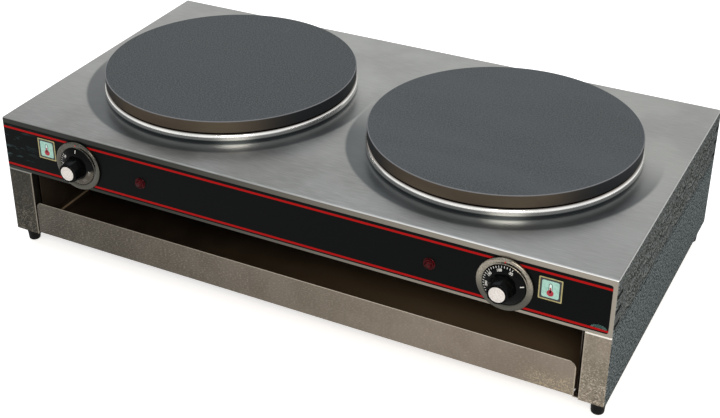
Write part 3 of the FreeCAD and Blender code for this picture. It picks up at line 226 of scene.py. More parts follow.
def satin_stainless():
    """Stainless sheet, satin: soft reflections, faint grain along the folds and cloudy wipe marks.

    The deck is painted darker towards the front and lighter at its front right (painted shade and light), and
    a painted shadow of each plate darkens the deck round the front of its ring. The front apron is painted
    dark, darker to the left (painted shade). The side aprons are painted dark and flecked, a painted
    reflection of a speckled floor. Painted highlights run along the top folds.
    """
    sheet, shader = new_material("satin_stainless_sheet", Specular_IOR_Level=0.0)
    clouds = add(sheet, "TexNoise", in_millimetres(sheet), 1 / 90, 3)
    grain = add(sheet, "TexNoise", in_millimetres(sheet, stretch=(14, 1, 1)), 1 / 1.4, 1)
    cloudy = add(sheet, "MapRange", clouds, 0.35, 0.65, **SMOOTH)
    x, y, z = axes(sheet)
    deck = add(sheet, "Mix", cloudy, "#8b8c89", "#969793", **BLEND)
    # Painted shade: a darker tone is mixed into the deck towards the front.
    shaded_front_tone = add(sheet, "Mix", cloudy, "#747572", "#7d7e7c", **BLEND)
    nearness = add(sheet, "MapRange", y, -240, 40, 1, 0, **SMOOTH)
    deck = add(sheet, "Mix", nearness, deck, shaded_front_tone, **BLEND)
    # Painted light: the deck is lighter at its front right.
    to_right = add(sheet, "MapRange", x, 60, 380, **SMOOTH)
    painted_light = add(sheet, "MapRange", y, -130, 60, 0.4, 0, **SMOOTH)
    deck = add(sheet, "Mix", add(sheet, "Math", to_right, painted_light, **TIMES), deck, "#9a9b9a", **BLEND)
    bright_grain = add(sheet, "MapRange", grain, 0.3, 0.9, 0, 0.25, **SMOOTH)
    deck = add(sheet, "Mix", bright_grain, deck, "#b4b4b0", **BLEND)

    reach = add(sheet, "Math", x, operation="ABSOLUTE")
    across = add(sheet, "Math", reach, PLATE_SPOT, operation="SUBTRACT")
    across_squared = add(sheet, "Math", across, 2, operation="POWER")
    along_squared = add(sheet, "Math", y, 2, operation="POWER")
    squares = add(sheet, "Math", across_squared, along_squared, **PLUS)
    from_plate = add(sheet, "Math", squares, operation="SQRT")
    # Painted shadow: a dark band on the deck round the front of each ring, where the plate's shadow and
    # reflection fall.
    plate_shadow = add(sheet, "MapRange", from_plate, PLATE_SHADOW_REACH, PLATE_SHADOW_REACH + 5, 0.75, 0, **SMOOTH)
    front_half = add(sheet, "MapRange", y, -60, 60, 1, 0, **SMOOTH)
    deck = add(sheet, "Mix", add(sheet, "Math", plate_shadow, front_half, **TIMES), deck, "#3c4144", **BLEND)

    # Painted shade: the front apron is dark, and darker towards the left.
    apron = add(sheet, "Mix", add(sheet, "MapRange", x, -250, 440, **SMOOTH), "#2d2e2b", "#857f75", **BLEND)
    on_apron = add(sheet, "MapRange", y, CASE_FRONT + 0.1, CASE_FRONT + 1.1, 1, 0, **SMOOTH)
    base = add(sheet, "Mix", on_apron, deck, apron, **BLEND)
    # Painted highlight: a pale line along the front top fold, stronger to the right.
    on_fold = inside(sheet, z, DECK_TOP - 1.3, DECK_TOP - 0.4, 0.2)
    at_front = add(sheet, "MapRange", y, CASE_FRONT + 1.7, CASE_FRONT + 2.1, 1, 0, **SMOOTH)
    fold_highlight = add(sheet, "Math", on_fold, at_front, **TIMES)
    shine = add(sheet, "MapRange", x, -150, 330, 0.1, 1, **SMOOTH)
    base = add(sheet, "Mix", add(sheet, "Math", fold_highlight, shine, **TIMES), base, "#e6e6e4", **BLEND)
    # Painted reflection and shade: the side aprons are dark and flecked, and darker just below each louvre.
    on_side = add(sheet, "MapRange", reach, CASE_EDGE - 1.2, CASE_EDGE - 0.4, **SMOOTH)
    side = add(sheet, "Mix", louvre_shade(sheet, y, z), mottle(sheet), "#0b0c0c", **BLEND)
    base = add(sheet, "Mix", on_side, base, side, **BLEND)
    # Painted highlight: a pale line along the fold between deck and side.
    near_side = add(sheet, "MapRange", reach, CASE_EDGE - 1.9, CASE_EDGE - 1.5, **SMOOTH)
    base = add(sheet, "Mix", add(sheet, "Math", on_fold, near_side, **TIMES), base, "#bfc1c0", **BLEND)

    satin = add(sheet, "MapRange", clouds, 0.3, 0.7, 0.29, 0.34, **SMOOTH)
    rough = add(sheet, "Math", satin, add(sheet, "Math", on_side, 0.3, **TIMES), **PLUS)
    shiny = add(sheet, "MapRange", on_side, 0, 1, 1, 0, **SMOOTH)
    bump = add(sheet, "Bump", 0.3, 0.02 * MM, None, add(sheet, "Math", grain, shiny, **TIMES))
    attach(shader, Base_Color=base, Roughness=rough, Metallic=shiny, Normal=bump)
    return sheet


def mottle(sheet):
    """Dark grey sheet with pale flecks two to three millimetres wide: a painted reflection of a dark speckled
    floor.

    A brown band runs round the louvres, and a dark seam and a score line run where two sheets meet.
    """
    flecks = add(sheet, "TexNoise", in_millimetres(sheet), 1 / 2.4, 3, 0.6)
    flecked = add(sheet, "MapRange", flecks, 0.42, 0.60, **SMOOTH)
    base = add(sheet, "Mix", flecked, "#2b3234", "#858d8e", **BLEND)
    z = axes(sheet)["Z"]
    dust_and_glare = inside(sheet, z, LOUVRE_LOW_Z - 12, LOUVRE_LOW_Z + 2.7 * LOUVRE_Z_STEP, 4)
    base = add(sheet, "Mix", add(sheet, "Math", dust_and_glare, 0.3, **TIMES), base, "#57534a", **BLEND)
    seam = inside(sheet, z, FRAME_TOP - 0.9, FRAME_TOP + 0.9, 0.2)
    score = add(sheet, "Math", inside(sheet, z, FRAME_TOP + 6.4, FRAME_TOP + 7.6, 0.3), 0.6, **TIMES)
    return add(sheet, "Mix", add(sheet, "Math", seam, score, **PLUS), base, "#171a1a", **BLEND)


def louvre_shade(sheet, y, z):
    """1 just below each louvre of the side aprons, where painted shade falls under the hoods, 0 elsewhere."""
    from_gap = add(sheet, "Math", y, LOUVRE_Y_STEP * 3.5, **PLUS)
    along = add(sheet, "Math", from_gap, LOUVRE_Y_STEP / 2, operation="PINGPONG")
    in_line = add(sheet, "MapRange", along, 20, 25, 1, 0, **SMOOTH)
    height = add(sheet, "Math", z, LOUVRE_Z_STEP / 2 - LOUVRE_LOW_Z, **PLUS)
    height = add(sheet, "Math", height, LOUVRE_Z_STEP, operation="FLOORED_MODULO")
    below = inside(sheet, height, LOUVRE_Z_STEP / 2 - 9, LOUVRE_Z_STEP / 2 - 3, 1)
    rows = inside(sheet, z, LOUVRE_LOW_Z - 10, LOUVRE_LOW_Z + 2.4 * LOUVRE_Z_STEP)
    amount = add(sheet, "Math", in_line, below, **TIMES)
    return add(sheet, "Math", amount, add(sheet, "Math", rows, 0.85, **TIMES), **TIMES)


def mottled_frame_sheet():
    """Stainless sheet of a duller batch: grey-brown, with a fine spangle that is stronger near the feet.

    The posts are painted darker at the left end (painted shade), and a painted highlight runs along their
    folds.
    """
    sheet, shader = new_material("mottled_frame_sheet", Specular_IOR_Level=0.0)
    spangle = crystals(sheet, 1.5)
    clouds = add(sheet, "TexNoise", in_millimetres(sheet), 1 / 30, 4)
    cloudy = add(sheet, "MapRange", clouds, 0.35, 0.65, **SMOOTH)
    x, _, z = axes(sheet)
    low_down = add(sheet, "MapRange", z, 30, 100, 1, 0.3, **SMOOTH)
    # Painted shade: the post fronts get a darker tone towards the left, and their pale spangle and fold line
    # fade there.
    to_right = add(sheet, "MapRange", x, -300, 200, 0.3, 1, **SMOOTH)
    right = add(sheet, "Mix", cloudy, "#70695c", "#7f766a", **BLEND)
    left = add(sheet, "Mix", cloudy, "#292823", "#34322c", **BLEND)
    front = add(sheet, "Mix", add(sheet, "MapRange", x, -200, 200, **SMOOTH), left, right, **BLEND)
    pale = add(sheet, "MapRange", spangle, 0.55, 1, 0, 0.7, **SMOOTH)
    pale = add(sheet, "Math", add(sheet, "Math", low_down, pale, **TIMES), to_right, **TIMES)
    front = add(sheet, "Mix", pale, front, "#b5ac9e", **BLEND)
    pits = add(sheet, "Math", low_down, add(sheet, "MapRange", spangle, 0, 0.25, 0.6, 0, **SMOOTH), **TIMES)
    front = add(sheet, "Mix", pits, front, "#453f36", **BLEND)
    # Painted highlight: a pale line along the posts' top fold.
    top_fold = add(sheet, "MapRange", z, FRAME_TOP - 2.8, FRAME_TOP - 1.8, **SMOOTH)
    front = add(sheet, "Mix", add(sheet, "Math", top_fold, to_right, **TIMES), front, "#d9d6cf", **BLEND)
    # Painted highlight: pale lines along the posts' inner edges.
    edges = add(sheet, "Math", inside(sheet, x, -389.6, -387.6), inside(sheet, x, 395.1, 396.6), **PLUS)
    front = add(sheet, "Mix", add(sheet, "Math", edges, 0.4, **TIMES), front, "#a39a8c", **BLEND)
    reach = add(sheet, "Math", x, operation="ABSOLUTE")
    on_side = add(sheet, "MapRange", reach, CASE_EDGE - 1.2, CASE_EDGE - 0.4, **SMOOTH)
    base = add(sheet, "Mix", on_side, front, mottle(sheet), **BLEND)
    satin = add(sheet, "MapRange", clouds, 0.3, 0.7, 0.36, 0.5, **SMOOTH)
    rough = add(sheet, "Math", satin, add(sheet, "Math", on_side, 0.4, **TIMES), **PLUS)
    shiny = add(sheet, "MapRange", on_side, 0, 1, 1, 0, **SMOOTH)
    bump = add(sheet, "Bump", 0.2, 0.02 * MM, None, add(sheet, "Math", spangle, shiny, **TIMES))
    attach(shader, Base_Color=base, Roughness=rough, Metallic=shiny, Normal=bump)
    return sheet


def tray_sheet():
    """Stainless tray: a satin lip outside and a pan inside that heat and grease have turned brown, both with
    painted light and shade.
    """
    sheet, shader = new_material("browned_tray_sheet")
    x, y, z = axes(sheet)
    clouds = add(sheet, "TexNoise", in_millimetres(sheet), 1 / 35, 4)
    cloudy = add(sheet, "MapRange", clouds, 0.35, 0.65, **SMOOTH)
    grain = add(sheet, "TexNoise", in_millimetres(sheet, stretch=(3, 1, 1)), 1 / 1.2, 2)
    # Painted shade: the lip is darker towards the left.
    right = add(sheet, "Mix", cloudy, "#71685d", "#7a7166", **BLEND)
    left = add(sheet, "Mix", cloudy, "#403d37", "#49463f", **BLEND)
    lip = add(sheet, "Mix", add(sheet, "MapRange", x, -420, 330, **SMOOTH), left, right, **BLEND)
    pale_grain = add(sheet, "MapRange", grain, 0.45, 0.8, 0, 0.4, **SMOOTH)
    lip = add(sheet, "Mix", pale_grain, lip, "#a0968a", **BLEND)

    specks = add(sheet, "TexNoise", in_millimetres(sheet), 1 / 1.6, 3)
    to_corner = add(sheet, "MapRange", x, 315, 350, **SMOOTH)
    low_down = add(sheet, "MapRange", z, 40, 58, 1, 0, **SMOOTH)
    wear_and_highlight = add(sheet, "Math", add(sheet, "Math", to_corner, low_down, **TIMES),
               add(sheet, "MapRange", specks, 0.48, 0.62, **SMOOTH), **TIMES)
    lip = add(sheet, "Mix", add(sheet, "Math", wear_and_highlight, 0.7, **TIMES), lip, "#a89a80", **BLEND)
    # Painted highlight: a pale line along the lip's top edge, fainter to the left.
    rim = add(sheet, "MapRange", z, TRAY_RIM - 1.5, TRAY_RIM - 0.5, **SMOOTH)
    rim = add(sheet, "Math", rim, add(sheet, "MapRange", x, -300, 200, 0.35, 1, **SMOOTH), **TIMES)
    lip = add(sheet, "Mix", rim, lip, "#a89e90", **BLEND)
    # Painted highlight: a pale line along the lip's right end.
    end = add(sheet, "MapRange", x, TRAY_END - 1.9, TRAY_END - 0.7, **SMOOTH)
    lip = add(sheet, "Mix", end, lip, "#9b9183", **BLEND)

    stained = add(sheet, "MapRange", clouds, 0.35, 0.7, **SMOOTH)
    pan = add(sheet, "Mix", stained, "#2b231a", "#382e23", **BLEND)
    # Painted light: the pan is lighter towards the right, where light falls in over the lip.
    pan = add(sheet, "Mix", add(sheet, "MapRange", x, -250, 380, **SMOOTH), pan, "#75634c", **BLEND)
    # Painted shade: the pan is darker deeper in, under the apron.
    pan = add(sheet, "Mix", add(sheet, "MapRange", y, -140, -60, **SMOOTH), pan, "#17130e", **BLEND)
    streak = add(sheet, "Math", inside(sheet, z, 36.5, 40), inside(sheet, y, -185, -115, 6), **TIMES)
    streak = add(sheet, "Math", streak, add(sheet, "MapRange", x, -384, -382, 1, 0, **SMOOTH), **TIMES)
    pan = add(sheet, "Mix", streak, pan, "#b39d80", **BLEND)
    behind = add(sheet, "MapRange", y, TRAY_FRONT + 0.9, TRAY_FRONT + 1.6, **SMOOTH)
    attach(shader, Base_Color=add(sheet, "Mix", behind, lip, pan, **BLEND),
           Metallic=add(sheet, "MapRange", behind, 0, 1, 1, 0.25, **SMOOTH),
           Roughness=add(sheet, "MapRange", clouds, 0.3, 0.7, 0.34, 0.46, **SMOOTH),
           Normal=add(sheet, "Bump", 0.3, 0.02 * MM, None, grain))
    return sheet


def browned_shaded_steel():
    """Sheet of the warming compartment: stainless that heat and cooking vapour have turned brown, painted
    dark as well to stand in for the compartment's shade.
    """
    sheet, shader = new_material("browned_shaded_compartment_sheet", Metallic=0.25)
    clouds = add(sheet, "TexNoise", in_millimetres(sheet), 1 / 60, 4)
    cloudy = add(sheet, "MapRange", clouds, 0.3, 0.7, **SMOOTH)
    # Painted shade: the brown is kept dark for the compartment's shade.
    attach(shader, Base_Color=add(sheet, "Mix", cloudy, "#2d251d", "#41372d", **BLEND),
           Roughness=add(sheet, "MapRange", clouds, 0.3, 0.7, 0.38, 0.5, **SMOOTH))
    return sheet


def back_sheet():
    """Plain satin stainless of the rear panels, with faint vertical rolling marks."""
    sheet, shader = new_material("rolled_back_sheet", Metallic=1.0)
    clouds = add(sheet, "TexNoise", in_millimetres(sheet), 1 / 70, 3)
    rolling = add(sheet, "TexNoise", in_millimetres(sheet, stretch=(1, 1, 20)), 1 / 1.5, 1)
    cloudy = add(sheet, "MapRange", clouds, 0.35, 0.65, **SMOOTH)
    base = add(sheet, "Mix", cloudy, "#858580", "#9a9a95", **BLEND)
    marks = add(sheet, "MapRange", rolling, 0.4, 0.9, 0, 0.4, **SMOOTH)
    attach(shader, Base_Color=add(sheet, "Mix", marks, base, "#adada8", **BLEND),
           Roughness=add(sheet, "MapRange", clouds, 0.3, 0.7, 0.34, 0.46, **SMOOTH),
           Normal=add(sheet, "Bump", 0.3, 0.02 * MM, None, rolling))
    return sheet


def seasoned_iron(centre_x, dark, pale):
    """Cast iron, turned flat and seasoned: grey grit, faint turning rings, oil smears and fine scratches.

    The rim has a painted warm highlight in the middle of its front and painted shade towards both sides,
    and a painted highlight along its upper edge.
    """
    iron, shader = new_material("seasoned_cast_iron", Specular_IOR_Level=0.1)
    flat = add(iron, "VectorMath", in_millimetres(iron, (centre_x, 0, 0)), (1, 1, 0), **TIMES)
    radius = add(iron, "VectorMath", flat, operation="LENGTH")
    across = add(iron, "SeparateXYZ", flat)
    turning = add(iron, "Math", radius, 2 * math.pi / TURNING_PITCH, **TIMES)
    rings = add(iron, "Math", turning, operation="SINE")
    grit = add(iron, "TexNoise", in_millimetres(iron), 1 / 2, 2)
    smears = add(iron, "TexNoise", in_millimetres(iron, stretch=(3, 1, 1)), 1 / 55, 4, 0.55)
    base = add(iron, "Mix", add(iron, "MapRange", smears, 0.32, 0.72, **SMOOTH), dark, pale, **BLEND)
    gritty = add(iron, "MapRange", grit, 0.38, 0.62, 0, 0.75, **SMOOTH)
    base = add(iron, "Mix", gritty, base, "#54585a", **BLEND)
    for stretch in ((30, 1, 1), (1.5, 40, 1)):
        hairs = add(iron, "TexNoise", in_millimetres(iron, stretch=stretch), 1, 0)
        scratched = add(iron, "MapRange", hairs, 0.77, 0.83, 0, 0.16, **SMOOTH)
        base = add(iron, "Mix", scratched, base, "#7a7d7e", **BLEND)

    smeared = add(iron, "MapRange", smears, 0.3, 0.7, **SMOOTH)
    # Painted light and shade: the rim is warm brown mid-front, as a painted highlight, and dark towards both
    # sides.
    rim = add(iron, "Mix", smeared, "#4c443a", "#5c5347", **BLEND)
    rim = add(iron, "Mix", add(iron, "MapRange", across, 80, 160, **SMOOTH), rim, "#222528", **BLEND)
    rim = add(iron, "Mix", add(iron, "MapRange", across, -135, -45, 1, 0, **SMOOTH), rim, "#26282a", **BLEND)
    on_rim = add(iron, "MapRange", radius, PLATE_R - 1, PLATE_R - 0.2, **SMOOTH)
    base = add(iron, "Mix", on_rim, base, rim, **BLEND)
    z = axes(iron)["Z"]
    # Painted highlight: a pale line along the rim's upper edge.
    wear_and_highlight = add(iron, "Math", add(iron, "MapRange", radius, PLATE_R - 1.6, PLATE_R - 0.8, **SMOOTH),
               add(iron, "MapRange", z, PLATE_TOP - 1.2, PLATE_TOP - 0.6, **SMOOTH), **TIMES)
    height = add(iron, "Math", add(iron, "Math", rings, 0.3, **TIMES), grit, **PLUS)
    attach(shader, Base_Color=add(iron, "Mix", wear_and_highlight, base, "#74767a", **BLEND),
           Roughness=add(iron, "MapRange", smears, 0.3, 0.7, 0.45, 0.55, **SMOOTH),
           Normal=add(iron, "Bump", 0.35, 0.03 * MM, None, height))
    return iron


def polished_ring_steel():
    """Spun and buffed stainless: near-mirror, with a painted shadow under the plate and a painted dark
    reflection near the deck.
    """
    steel, shader = new_material("buffed_stainless", Metallic=1.0)
    marks = add(steel, "TexNoise", in_millimetres(steel), 1 / 30, 2)
    z = axes(steel)["Z"]
    marked = add(steel, "MapRange", marks, 0.35, 0.7, **SMOOTH)
    base = add(steel, "Mix", marked, "#f2f1ee", "#e3e3e1", **BLEND)
    # Painted shadow: a dark brown line along the ring's top, under the plate's rim.
    gap_shadow = add(steel, "MapRange", z, RING_TOP - 2.4, RING_TOP - 0.6, 0, 0.85, **SMOOTH)
    base = add(steel, "Mix", gap_shadow, base, "#4a3a2a", **BLEND)
    # Painted reflection: the ring's lower wall is dark near the deck.
    low_down = add(steel, "MapRange", z, DECK_TOP + 2.6, DECK_TOP + 4, 1, 0, **SMOOTH)
    attach(shader, Base_Color=add(steel, "Mix", low_down, base, "#5d6264", **BLEND),
           Roughness=add(steel, "MapRange", marks, 0.3, 0.75, 0.14, 0.18, **SMOOTH))
    return steel


def printed_overlay():
    """Back-printed film: near-black and semi-gloss, with two red lines and scuffs at the left end."""
    film, shader = new_material("printed_black_film", Specular_IOR_Level=0.03)
    x, _, z = axes(film)
    top = OVERLAY_HIGH.z / MM - TOP_STRIPE_DROP
    low = OVERLAY_LOW.z / MM + LOW_STRIPE_RISE
    end = OVERLAY_LOW.x / MM
    upper = inside(film, z, top - STRIPE_H, top)
    red = add(film, "Math", upper, inside(film, z, low, low + STRIPE_H), **PLUS)
    dust = add(film, "TexNoise", in_millimetres(film), 1 / 0.8, 1)
    dust_and_glare = add(film, "MapRange", dust, 0.6, 0.8, 0, 0.5, **SMOOTH)
    black = add(film, "Mix", dust_and_glare, "#0a0c0c", "#161a1a", **BLEND)
    smears = add(film, "TexNoise", in_millimetres(film, stretch=(2.5, 1, 0.6)), 1 / 9, 3, 0.6)
    left_end = add(film, "MapRange", x, end, end + SCUFF_REACH, 1, 0, **SMOOTH)
    scuffs = add(film, "Math", left_end, add(film, "MapRange", smears, 0.54, 0.66, **SMOOTH), **TIMES)
    black = add(film, "Mix", add(film, "Math", scuffs, 0.5, **TIMES), black, "#41575a", **BLEND)
    attach(shader, Base_Color=add(film, "Mix", red, black, "#a51313", **BLEND),
           Roughness=add(film, "MapRange", smears, 0.4, 0.7, 0.28, 0.42, **SMOOTH))
    return film


def anodised_bezel():
    """Turned aluminium, satin anodised: a bloom of dust, with painted shade on the left bezel and on the
    lower part of both.
    """
    metal, shader = new_material("satin_anodised_aluminium", Metallic=1.0)
    bloom = add(metal, "TexNoise", in_millimetres(metal), 1 / 1.6, 3)
    blooming = add(metal, "MapRange", bloom, 0.35, 0.65, **SMOOTH)
    x, _, z = axes(metal)
    # Painted shade and light: the left bezel gets a darker tone, the right a lighter one.
    painted_shade = add(metal, "Mix", blooming, "#3f3e39", "#58564f", **BLEND)
    painted_light = add(metal, "Mix", blooming, "#6e695f", "#918b7f", **BLEND)
    base = add(metal, "Mix", add(metal, "MapRange", x, -200, 200, **SMOOTH), painted_shade, painted_light, **BLEND)
    # Painted shade: each bezel is darker on its lower part.
    low_down = add(metal, "MapRange", z, 140, 176, 1, 0, **SMOOTH)
    attach(shader, Base_Color=add(metal, "Mix", low_down, base, "#4b4a44", **BLEND),
           Roughness=add(metal, "MapRange", bloom, 0.3, 0.7, 0.17, 0.32, **SMOOTH),
           Normal=add(metal, "Bump", 0.2, 0.01 * MM, None, bloom))
    return metal


def glare_sector(material):
    """1 on the lower right of the left dial, where a painted reflection of glare lightens the dial and hides
    the scale, 0 elsewhere.
    """
    x, y, z = axes(material)
    across = add(material, "Math", x, LEFT_DIAL[0], operation="SUBTRACT")
    height = add(material, "Math", z, LEFT_DIAL[1], operation="SUBTRACT")
    right = add(material, "Math", across, GLARE_RIGHT, **TIMES)
    down = add(material, "Math", height, -GLARE_DOWN, **TIMES)
    lean = add(material, "MapRange", add(material, "Math", right, down, **PLUS), 7, 13, **SMOOTH)
    return add(material, "Math", lean, add(material, "MapRange", y, -236.3, -235.9, **SMOOTH), **TIMES)


def black_phenolic(name, dust_and_glare=False):
    """Compression-moulded phenolic: deep black and glossy, with a trace of dust."""
    phenolic, shader = new_material(name, Specular_IOR_Level=0.02, Coat_Weight=0.07, Coat_Roughness=0.08)
    dust = add(phenolic, "TexNoise", in_millimetres(phenolic), 1 / 1.1, 3)
    trace = add(phenolic, "MapRange", dust, 0.58, 0.8, 0, 0.5, **SMOOTH)
    base = add(phenolic, "Mix", trace, "#060707", "#161717", **BLEND)
    # Painted reflection: a pale sector of glare on the lower right of the left dial.
    if dust_and_glare:
        base = add(phenolic, "Mix", glare_sector(phenolic), base, "#55514a", **BLEND)
    attach(shader, Base_Color=base, Roughness=add(phenolic, "MapRange", dust, 0.3, 0.8, 0.2, 0.42, **SMOOTH))
    return phenolic


def plain_paint(name, code, darker, size=3.0, rough=(0.4, 0.55), dust_and_glare=False):
    """Printing ink or plain moulded plastic, faintly uneven."""
    paint, shader = new_material(name)
    patches = add(paint, "TexNoise", in_millimetres(paint), 1 / size, 3)
    base = add(paint, "Mix", add(paint, "MapRange", patches, 0.35, 0.7, **SMOOTH), code, darker, **BLEND)
    # Painted reflection: the scale is dimmed in the glare sector of the left dial.
    if dust_and_glare:
        base = add(paint, "Mix", glare_sector(paint), base, "#605c53", **BLEND)
    attach(shader, Base_Color=base, Roughness=add(paint, "MapRange", patches, 0.3, 0.7, *rough, **SMOOTH))
    return paint


def red_lens():
    """Transparent red polycarbonate over an unlit lamp: dark and glossy, with a deep uneven red."""
    plastic, shader = new_material("red_polycarbonate", Specular_IOR_Level=0.05, Coat_Weight=0.08,
                                   Coat_Roughness=0.05)
    depth = add(plastic, "TexNoise", in_millimetres(plastic), 1 / 2)
    uneven = add(plastic, "MapRange", depth, 0.35, 0.65, **SMOOTH)
    attach(shader, Base_Color=add(plastic, "Mix", uneven, "#1d0407", "#52090f", **BLEND),
           Roughness=add(plastic, "MapRange", depth, 0.3, 0.7, 0.1, 0.2, **SMOOTH))
    return plastic


def foot_rubber():
    """Moulded rubber: black, dull, with a bloom of dust on its flanks."""
    material, shader = new_material("moulded_black_rubber", Specular_IOR_Level=0.1)
    bloom = add(material, "TexNoise", in_millimetres(material), 1 / 3, 4)
    blooming = add(material, "MapRange", bloom, 0.4, 0.75, **SMOOTH)
    attach(shader, Base_Color=add(material, "Mix", blooming, "#080808", "#1b1b1c", **BLEND),
           Roughness=add(material, "MapRange", bloom, 0.3, 0.7, 0.55, 0.8, **SMOOTH),
           Normal=add(material, "Bump", 0.4, 0.03 * MM, None, bloom))
    return material


def galvanised():
    """Hot-dip galvanised sheet: grey crystals a few millimetres wide, each a little lighter or darker."""
    sheet, shader = new_material("galvanised_sheet", Metallic=0.9)
    tone = crystals(sheet, 7.0)
    attach(shader, Base_Color=add(sheet, "Mix", tone, "#5d6060", "#7f8382", **BLEND),
           Roughness=add(sheet, "MapRange", tone, 0, 1, 0.34, 0.5, **SMOOTH))
    return sheet


def dull_metal(name, code, darker, size=4.0, rough=(0.35, 0.5)):
    """Plated, drawn or scaled metal of an inner piece or a fastener, in patches a few millimetres wide."""
    metal, shader = new_material(name, Metallic=1.0)
    patches = add(metal, "TexNoise", in_millimetres(metal), 1 / size, 3)
    patchy = add(metal, "MapRange", patches, 0.35, 0.7, **SMOOTH)
    attach(shader, Base_Color=add(metal, "Mix", patchy, code, darker, **BLEND),
           Roughness=add(metal, "MapRange", patches, 0.3, 0.7, *rough, **SMOOTH))
    return metal


def fibrous(name, code, darker, size):
    """Mineral wool or woven glass sleeving: matt, with fibres that catch light unevenly."""
    wool, shader = new_material(name, Roughness=0.95, Specular_IOR_Level=0.2)
    fibres = add(wool, "TexNoise", in_millimetres(wool, stretch=(4, 1, 1)), 1 / size, 4, 0.7)
    uneven = add(wool, "MapRange", fibres, 0.35, 0.65, **SMOOTH)
    attach(shader, Base_Color=add(wool, "Mix", uneven, code, darker, **BLEND),
           Normal=add(wool, "Bump", 0.6, 0.4 * MM, None, fibres))
    return wool


def clear_film():
    """A torn scrap of protective film: thin, clear and faintly green, milky where it is creased."""
    film, shader = new_material("peeled_clear_film", Roughness=0.5, Specular_IOR_Level=0.15)
    creases = add(film, "TexNoise", in_millimetres(film, stretch=(1, 1, 2)), 1 / 9, 1)
    creased = add(film, "MapRange", creases, 0.4, 0.7, **SMOOTH)
    attach(shader, Base_Color=add(film, "Mix", creased, "#42605c", "#6d8f8a", **BLEND),
           Alpha=add(film, "MapRange", creases, 0.4, 0.7, 0.45, 0.6, **SMOOTH))
    return film


def only(piece):
    """Selects one piece alone."""
    bpy.ops.object.select_all(action="DESELECT")
    piece.select_set(True)
    bpy.context.view_layer.objects.active = piece


def edit(piece):
    """Opens a piece's mesh with all of it selected."""
    only(piece)
    bpy.ops.object.mode_set(mode="EDIT")
    bpy.ops.mesh.select_all(action="SELECT")


def leave_edit():
    """Closes the mesh that is open."""
    bpy.ops.object.mode_set(mode="OBJECT")


def settle(piece):
    """Puts the piece's place, turn and size into its mesh."""
    only(piece)
    bpy.ops.object.transform_apply(location=True, rotation=True, scale=True)


def use_modifier(piece, kind, **settings):
    """Adds a modifier with its settings and applies it."""
    only(piece)
    modifier = piece.modifiers.new(kind.lower(), kind)
    for name, value in settings.items():
        setattr(modifier, name, value)
    bpy.ops.object.modifier_apply(modifier=modifier.name)


def smooth(piece, angle):
    """Shades a piece smooth but for the edges that turn by more than an angle."""
    only(piece)
    bpy.ops.object.shade_smooth_by_angle(angle=math.radians(angle))


def soften(piece, width, segments=2, angle=30):
    """Breaks the sharp edges by a width in millimetres and shades the rest smooth."""
    use_modifier(piece, "BEVEL", width=width * MM, segments=segments, limit_method="ANGLE",
                 angle_limit=math.radians(angle))
    smooth(piece, angle)


def seat(piece, body, material, slot, *nodes):
    """Gives a finished piece its finish, the body it moves with and the CAD nodes it stands for."""
    settle(piece)
    piece.data.materials.clear()
    piece.data.materials.append(material)
    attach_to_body(piece, body)
    if nodes:
        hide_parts(*nodes)
    return piece


def dressed(node, material, edge, slot, body="casing"):
    """Copy of a node with its seams merged, its edges broken and its curves shaded smooth."""
    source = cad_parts[node]
    piece = bpy.data.objects.new(node + "_finished", source.data.copy())
    bpy.context.scene.collection.objects.link(piece)
    edit(piece)
    bpy.ops.mesh.remove_doubles(threshold=0.002 * MM)
    bpy.ops.mesh.dissolve_limited(angle_limit=math.radians(0.6))
    leave_edit()
    soften(piece, edge)
    use_modifier(piece, "WEIGHTED_NORMAL", keep_sharp=True)
    return seat(piece, body, material, slot, node)


def lathe(name, profile, steps=96, angle=40):
    """Turned piece about +Z, shaded smooth, from a profile of (radius, height) points in millimetres."""
    bpy.ops.object.select_all(action="DESELECT")
    bpy.ops.mesh.primitive_plane_add(size=MM)
    piece = bpy.context.active_object
    piece.name = name
    edit(piece)
    bpy.ops.mesh.merge(type="CENTER")
    bpy.ops.transform.translate(value=(profile[0][0] * MM, 0, profile[0][1] * MM))
    for (r, z), (next_r, next_z) in zip(profile, profile[1:]):
        step = ((next_r - r) * MM, 0, (next_z - z) * MM)
        bpy.ops.mesh.extrude_vertices_move(TRANSFORM_OT_translate={"value": step})
    bpy.ops.mesh.select_all(action="SELECT")
    bpy.ops.mesh.spin(steps=steps, angle=2 * math.pi, center=(0, 0, 0), axis=(0, 0, 1))
    bpy.ops.mesh.select_all(action="SELECT")
    bpy.ops.mesh.remove_doubles(threshold=0.005 * MM)
    bpy.ops.mesh.normals_make_consistent(inside=False)
    leave_edit()
    smooth(piece, angle)
    return piece


def joined(name, pieces):
    """One piece made of several."""
    only(pieces[0])
    for piece in pieces:
        piece.select_set(True)
    bpy.ops.object.join()
    pieces[0].name = name
    return pieces[0]


def twin(piece, name):
    """A second piece with its own mesh."""
    copy = bpy.data.objects.new(name, piece.data.copy())
    bpy.context.scene.collection.objects.link(copy)
    return copy


def face_front(piece, x, z, turn=0.0):
    """Stands a piece, made along +Z, on the front apron; turn is clockwise as seen from the front."""
    apron_y = FACE_Y + OVERLAY_T
    spin = Matrix.Rotation(math.radians(-turn), 4, "Z")
    stand = Matrix.Rotation(math.radians(90), 4, "X")
    piece.matrix_world = Matrix.Translation((x, apron_y, z)) @ stand @ spin
    settle(piece)
    return piece


